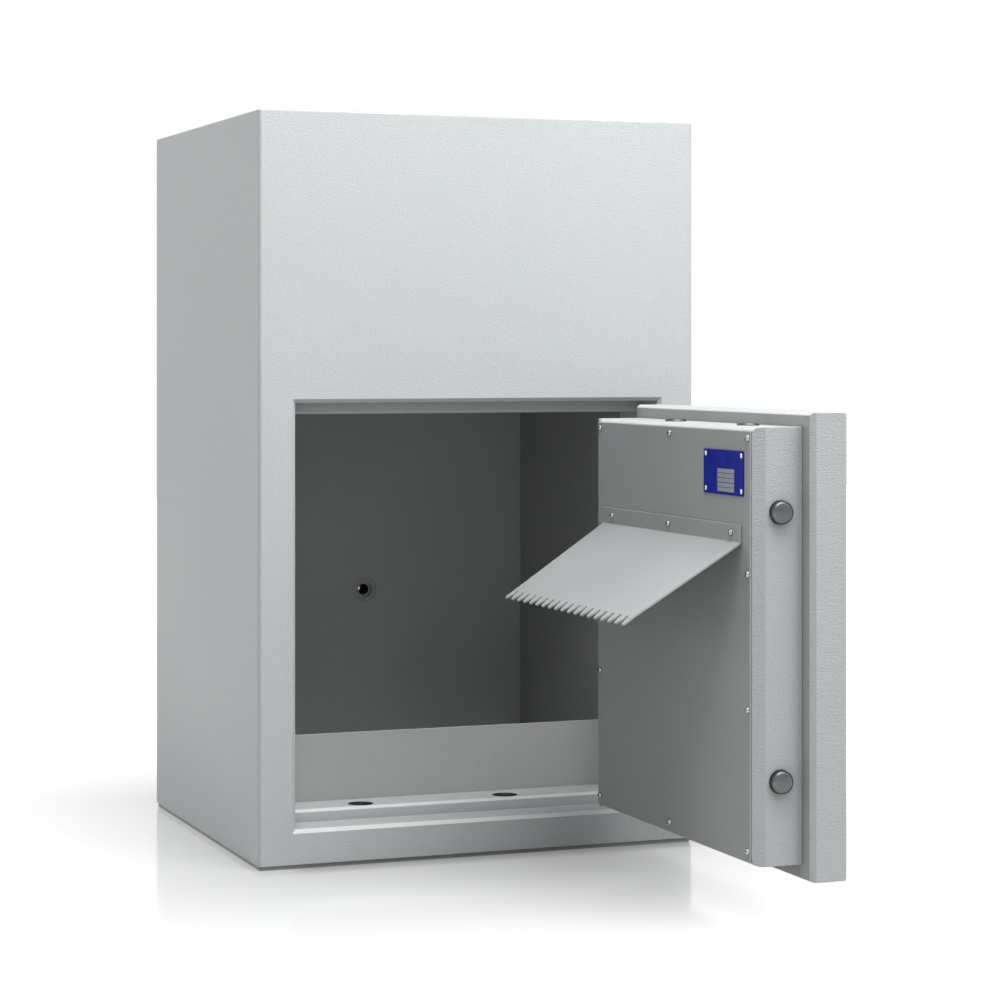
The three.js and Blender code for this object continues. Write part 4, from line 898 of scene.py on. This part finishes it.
def buildNamePlate():
    # local X runs from the hinge side to the lock side
    look = namePlate
    outline = roundedCorners(
        0, look["width"], 0, look["height"], look["corner"], look["cornerSteps"])
    plate = sheetPiece("namePlate", outline, onCover["namePlate"], blueEnamel)
    softenEdges(plate, look["edge"])
    placeInside(plate, plateFar, coverFace + onCover["gap"], plateFoot)
    seat(plate, "door", "rating_plate")
    left, right = look["cellLeft"], look["cellLeft"] + look["cellWidth"]
    for cell in range(look["cells"]):
        top = look["height"] - look["cellTop"] - cell * (look["cellHeight"] + look["cellGap"])
        shape = roundedCorners(
            left, right, top - look["cellHeight"], top, look["cellCorner"], look["cellSteps"])
        field = sheetPiece("plateCell.%d" % cell, shape, look["cellRise"], platePrint)
        seat(placeInside(field, plateFar, plateFace, plateFoot), "door")
    inset, radius, height = look["rivetInset"], look["rivetRadius"], look["rivetHeight"]
    profile = [(radius * reach, height * rise) for reach, rise in look["rivetDome"]]
    for across in (inset, look["width"] - inset):
        for up in (inset, look["height"] - inset):
            rivet = turnedPiece(
                "plateRivet.%d.%d" % (across, up), profile, look["rivetSegments"], zincScrew)
            placeInside(rivet, plateFar - across, plateFace, plateFoot + up)
            seat(rivet, "door")


buildNamePlate()
print("name plate riveted")

baffleLook = {
    "flange": 17.0, "slope": 34.0, "slopeLength": 135.1, "bendRadius": 2.0, "bendSteps": 5,
    "hingeSide": -63.0, "lockSide": -394.0, "tipLockSide": -373.4, "teeth": 19, "pitch": 16.956,
    "toothLength": 13.0, "tipRadius": 2.6, "slotRadius": 3.2, "roundSteps": 6,
    "rounding": (0.4, 2, 30.0), "flanks": ((0.0, 5.27), (0.35, 4.9), (0.7, 4.0))}


def toothOutline(root, tip):
    # from the hinge side to the lock side, across the sheet and down it
    look = baffleLook
    slot, rounding, steps = look["slotRadius"], look["tipRadius"], look["roundSteps"]
    straight = tip - rounding - root - slot
    flanks = [(width, root + slot + share * straight) for share, width in look["flanks"]]
    points = []
    for tooth in reversed(range(look["teeth"])):
        centre = look["tipLockSide"] + rounding + look["pitch"] * tooth
        if tooth < look["teeth"] - 1:
            points += [(centre + width, down) for width, down in flanks]
        for step in range(steps + 1):
            angle = math.pi * step / steps
            points.append((
                centre + rounding * math.cos(angle), tip - rounding + rounding * math.sin(angle)))
        if tooth == 0:
            break
        points += [(centre - width, down) for width, down in reversed(flanks)]
        middle = centre - look["pitch"] / 2
        for step in range(1, steps):
            angle = math.pi * step / steps
            points.append((middle + slot * math.cos(angle), root + slot - slot * math.sin(angle)))
    return points


def buildBaffle():
    look = baffleLook
    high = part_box("baffle_plate")[1]
    back = (hinge[0] - high.x) / mm
    bendHeight = high.z / mm - look["flange"]
    turned = math.radians(90 - look["slope"])
    radius, sheet = look["bendRadius"], onCover["baffle"]
    tangent = radius * math.tan(turned / 2)
    flat = look["flange"] - tangent
    bent = flat + radius * turned
    root = bent + look["slopeLength"] - tangent - look["toothLength"]

    def place(across, down, depth):
        # depth runs from the sheet's rear face to its front face
        if down <= flat:
            return onDoor(across, back + depth, bendHeight + look["flange"] - down)
        angle = min((down - flat) / radius, turned)
        further = max(down - bent, 0.0)
        reach = radius + sheet - depth
        return onDoor(
            across,
            back + sheet + radius - reach * math.cos(angle) + further * math.sin(turned),
            bendHeight + tangent - reach * math.sin(angle) - further * math.cos(turned))

    steps = look["bendSteps"]
    rows = [0.0] + [flat + (bent - flat) * step / steps for step in range(steps + 1)]
    hingeEdge = [(look["hingeSide"], down) for down in rows]
    lockEdge = [(look["lockSide"], down) for down in rows]
    comb = [(look["hingeSide"], root)] + toothOutline(root, root + look["toothLength"])
    comb.append((look["tipLockSide"], root))
    build = bmesh.new()
    sides = []
    for depth in (0.0, sheet):
        hingeRow, lockRow, combRow = [
            [build.verts.new(place(*point, depth)) for point in edge]
            for edge in (hingeEdge, lockEdge, comb)]
        for index in range(len(rows) - 1):
            build.faces.new([
                hingeRow[index], hingeRow[index + 1], lockRow[index + 1], lockRow[index]])
        build.faces.new([hingeRow[-1]] + combRow + [lockRow[-1]])
        sides.append(hingeRow + combRow + list(reversed(lockRow)))
    joinRings(build, sides)
    piece = newPiece("baffle", closedMesh("baffle", build), bafflePaint)
    # painted shade: the baffle's faces that look along -X take the darker cover paint
    paintFaces(softenEdges(piece, *look["rounding"]), coverPaint, 0)
    return seat(piece, "door", "baffle_plate")


buildBaffle()
print("baffle bent and toothed")


handleLook = {"lever": (1.2, 3, 30.0), "rosette": 0.4, "keyPlate": 0.2, "keyCover": 0.3}
dress("lever_handle", "lever", "handle", "black_plastic", blackGrip, *handleLook["lever"])
for nodeName, pieceName, body in (
        ("handle_rosette", "rosette", "door"), ("key_escutcheon", "keyPlate", "door"),
        ("key_cover", "keyCover", "keyhole_cover")):
    dress(nodeName, pieceName, body, "bright_steel", satinSteel, handleLook[pieceName])
print("handle and key plate dressed")


drawerLook = {"sheetEdge": 0.4}
for body, slot, material, names in (
        ("drawer", "paint", bodyPaint, {"drawer_front": "drawerPlate"}),
        ("drawer", "inner_paint", linerPaint, {
            "drawer_side_left": "drawerWall.left", "drawer_side_right": "drawerWall.right",
            "drawer_barrier": "drawerBarrier", "drawer_ramp": "drawerRamp"}),
        ("cabinet", "inner_paint", linerPaint, {
            "chamber_liner": "chamber", "drop_chute": "dropChute",
            "drawer_collar": "drawerCollar"}),
        ("cabinet", "bright_steel", rolledSteel, {
            "runner_left": "runner.left", "runner_right": "runner.right"})):
    for nodeName, pieceName in names.items():
        dress(nodeName, pieceName, body, slot, material, drawerLook["sheetEdge"])

pull = {
    "radius": 6.0, "bend": 14.0, "bendSteps": 14, "sides": 32, "footRadius": 10.0,
    "footHeight": 3.0, "footSegments": 48, "footOverlap": 0.5,
    "footRim": ((0.0, 0.0), (0.0, 0.6), (0.5, 0.9), (1.2, 1.0))}


def sweepTube(name, path, radius, sides):
    # path of points in one level plane, in millimetres
    build = bmesh.new()
    rings = []
    for index, point in enumerate(path):
        before = path[max(index - 1, 0)]
        after = path[min(index + 1, len(path) - 1)]
        along = (Vector(after) - Vector(before)).normalized()
        across = Vector((-along.y, along.x, 0))
        ring = []
        for step in range(sides):
            angle = 2 * math.pi * step / sides
            rise = Vector((0, 0, radius * math.sin(angle)))
            offset = across * (radius * math.cos(angle)) + rise
            ring.append(build.verts.new((Vector(point) + offset) * mm))
        rings.append(ring)
    return cappedMesh(name, build, rings, edgeWork["tubeSharp"])


def buildPull():
    low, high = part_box("drawer_pull")
    radius, bend, height = pull["radius"], pull["bend"], pull["footHeight"]
    half = (high.x - low.x) / mm / 2 - pull["footRadius"]
    foot = low.y / mm
    reach = high.y / mm - radius
    z = (low.z + high.z) / 2 / mm
    path = [(-half, foot, z)]
    for side in (-1, 1):
        corner = []
        for step in range(pull["bendSteps"] + 1):
            angle = math.radians(90 * step / pull["bendSteps"])
            corner.append((side * (half - bend + bend * math.cos(angle)),
                           reach - bend + bend * math.sin(angle), z))
        if side > 0:
            corner.reverse()
        path += corner
    path.append((half, foot, z))
    bow = newPiece("pullBow", sweepTube("pullBow", path, radius, pull["sides"]), satinSteel)
    seat(bow, "drawer", "drawer_pull")
    inner = radius - pull["footOverlap"]
    rim = [(pull["footRadius"] - ease, height * share) for ease, share in pull["footRim"]]
    profile = [(inner, 0)] + rim + [(inner, height), (inner, 0)]
    turn = Matrix.Rotation(math.radians(-90), 4, "X")
    for side, place in (("left", -half), ("right", half)):
        rose = turnedPiece("pullFoot." + side, profile, pull["footSegments"], satinSteel,
                           millimetres(place, foot, z), turn)
        seat(rose, "drawer")


buildPull()
print("drawer dressed")


kept = (
    # the base plate takes the darker paint that stands for the shadow under the shell
    (shadowedFootPaint, ("base_plate",)),
    (barrierFill, ("fill_left", "fill_right", "fill_floor", "fill_top", "fill_back", "fill_front",
                   "fill_shelf")),
    (oiledSteel, ("boltwork_carrier", "handle_spindle", "cam_disc", "side_bar", "top_bar",
                  "bottom_bar")),
    (lockBrass, ("lock_case", "lock_bolt")),
    (satinSteel, ("hinge_pin_lower", "hinge_pin_upper")))
for material, nodeNames in kept:
    for nodeName in nodeNames:
        mesh = nodes[nodeName].data
        mesh.materials.clear()
        mesh.materials.append(material)
print("kept nodes finished:", sum(len(nodeNames) for material, nodeNames in kept))


studio = {
    "floorSize": 14.0, "cuts": 8, "drop": 0.0004, "floorColour": (0.50, 0.50, 0.50),
    "toneScale": 1.5, "toneShade": 0.985, "floorRough": 0.12, "specular": 0.35,
    "nearLift": 0.24, "farLift": 0.9, "nearReach": 0.03, "farReach": 0.7, "centre": (0.03, 0.0),
    "footprint": (0.22, 0.225), "paintedContactShadow": 0.62, "paintedContactShadowReach": 0.036,
    "worldStrength": 0.29, "backdrop": 1.0}


def seenDirectly(tree):
    # 1 where the camera, a gloss or a clear surface looks at the studio, 0 where it only lights
    path = tree.nodes.new("ShaderNodeLightPath")
    seen = calculate(tree, "MAXIMUM", path.outputs["Is Camera Ray"], path.outputs["Is Glossy Ray"])
    return calculate(tree, "MAXIMUM", seen, path.outputs["Is Transmission Ray"])


def buildFloor():
    look = studio
    build = bmesh.new()
    half = look["floorSize"] / 2
    corners = ((-half, -half), (half, -half), (half, half), (-half, half))
    build.faces.new([build.verts.new((x, y, -look["drop"])) for x, y in corners])
    bmesh.ops.subdivide_edges(
        build, edges=build.edges, cuts=look["cuts"], use_grid_fill=True)
    material, tree, shader = startMaterial(
        "studioFloor", Roughness=look["floorRough"], Specular_IOR_Level=look["specular"],
        Emission_Color=(1, 1, 1, 1))
    place = objectPlace(tree)
    shade = tuple(value * look["toneShade"] for value in look["floorColour"])
    tones = noise(tree, place, look["toneScale"])
    ground = mixColours(tree, tones, shade, look["floorColour"])
    # painted shade and light: the floor's glow, seen directly and in gloss, is dim near the safe's
    # foot, a halo of painted shade, and turns to the white of the backdrop away from it, washing
    # out the cast shadow; the footprint sits a little to the right, so the left turns white sooner
    axes = axesOf(tree, place)
    squares = []
    for axis, middle, reach in zip(("X", "Y"), look["centre"], look["footprint"]):
        across = calculate(tree, "ABSOLUTE", calculate(tree, "SUBTRACT", axes[axis], middle))
        outside = calculate(tree, "MAXIMUM", calculate(tree, "SUBTRACT", across, reach), 0.0)
        squares.append(multiply(tree, outside, outside))
    away = calculate(tree, "SQRT", calculate(tree, "ADD", *squares))
    lift = remap(
        tree, away, look["nearReach"], look["farReach"], look["nearLift"], look["farLift"])
    # painted contact shadow: the floor's colour and glow darkened right at the safe's foot
    paintedContactShadow = remap(tree, away, 0.0, look["paintedContactShadowReach"], look["paintedContactShadow"], 1.0)
    colour = mixColours(tree, paintedContactShadow, (0.0, 0.0, 0.0), ground)
    feed(tree, shader.inputs["Base Color"], colour)
    shaded = multiply(tree, paintedContactShadow, lift)
    strength = multiply(tree, seenDirectly(tree), shaded)
    feed(tree, shader.inputs["Emission Strength"], strength)
    newPiece("studioFloor", meshFromBuild("studioFloor", build), material)


def buildWorld():
    world = bpy.data.worlds.new("studio")
    scene.world = world
    world.use_nodes = True
    tree = world.node_tree
    background = tree.nodes["Background"]
    background.inputs["Color"].default_value = (1, 1, 1, 1)
    strength = remap(
        tree, seenDirectly(tree), 0.0, 1.0, studio["worldStrength"], studio["backdrop"])
    feed(tree, background.inputs["Strength"], strength)


lamps = {
    "right": {
        "place": (2.3, -2.9, 2.1), "aim": (0.0, -0.2, 0.45), "size": (2.4, 2.0), "power": 23.4},
    "rightHigh": {
        "place": (1.6, -2.2, 3.0), "aim": (0.0, -0.2, 0.45), "size": (2.0, 1.6), "power": 15.0},
    "frontAbove": {
        "place": (-0.2, -1.9, 2.9), "aim": (0.0, -0.3, 0.4), "size": (2.0, 1.6), "power": 19.0},
    "overhead": {
        "place": (0.0, -0.9, 3.0), "aim": (0.0, -0.3, 0.4), "size": (2.0, 1.6), "power": 11.5},
    "frontClose": {
        "place": (0.1, -1.0, 1.7), "aim": (0.0, -0.2, 0.8), "size": (1.4, 0.6), "power": 13.0},
    "leftBehind": {
        "place": (-2.4, 2.4, 0.9), "aim": (-0.2, 0.2, 0.4), "size": (1.6, 1.6), "power": 22.3}}


def buildLamps():
    for name, look in lamps.items():
        light = bpy.data.lights.new(name, "AREA")
        light.shape = "RECTANGLE"
        light.size, light.size_y = look["size"]
        light.energy = look["power"]
        lamp = addObject(name, light)
        lamp.location = look["place"]
        aim = Vector(look["aim"]) - Vector(look["place"])
        lamp.rotation_euler = aim.to_track_quat("-Z", "Y").to_euler()


viewpoint = {
    "place": (-1.0406, -3.0131, 0.5453), "turn": -20.8425, "lens": 99.105, "sensor": 36.0,
    "shift": -0.14848}


def buildCamera():
    lens = bpy.data.cameras.new("viewpoint")
    lens.sensor_width = viewpoint["sensor"]
    lens.lens = viewpoint["lens"]
    lens.shift_y = viewpoint["shift"]
    camera = addObject("viewpoint", lens)
    camera.location = viewpoint["place"]
    camera.rotation_euler = (math.radians(90), 0, math.radians(viewpoint["turn"]))
    scene.camera = camera


buildFloor()
buildWorld()
buildLamps()
buildCamera()
print("studio ready")
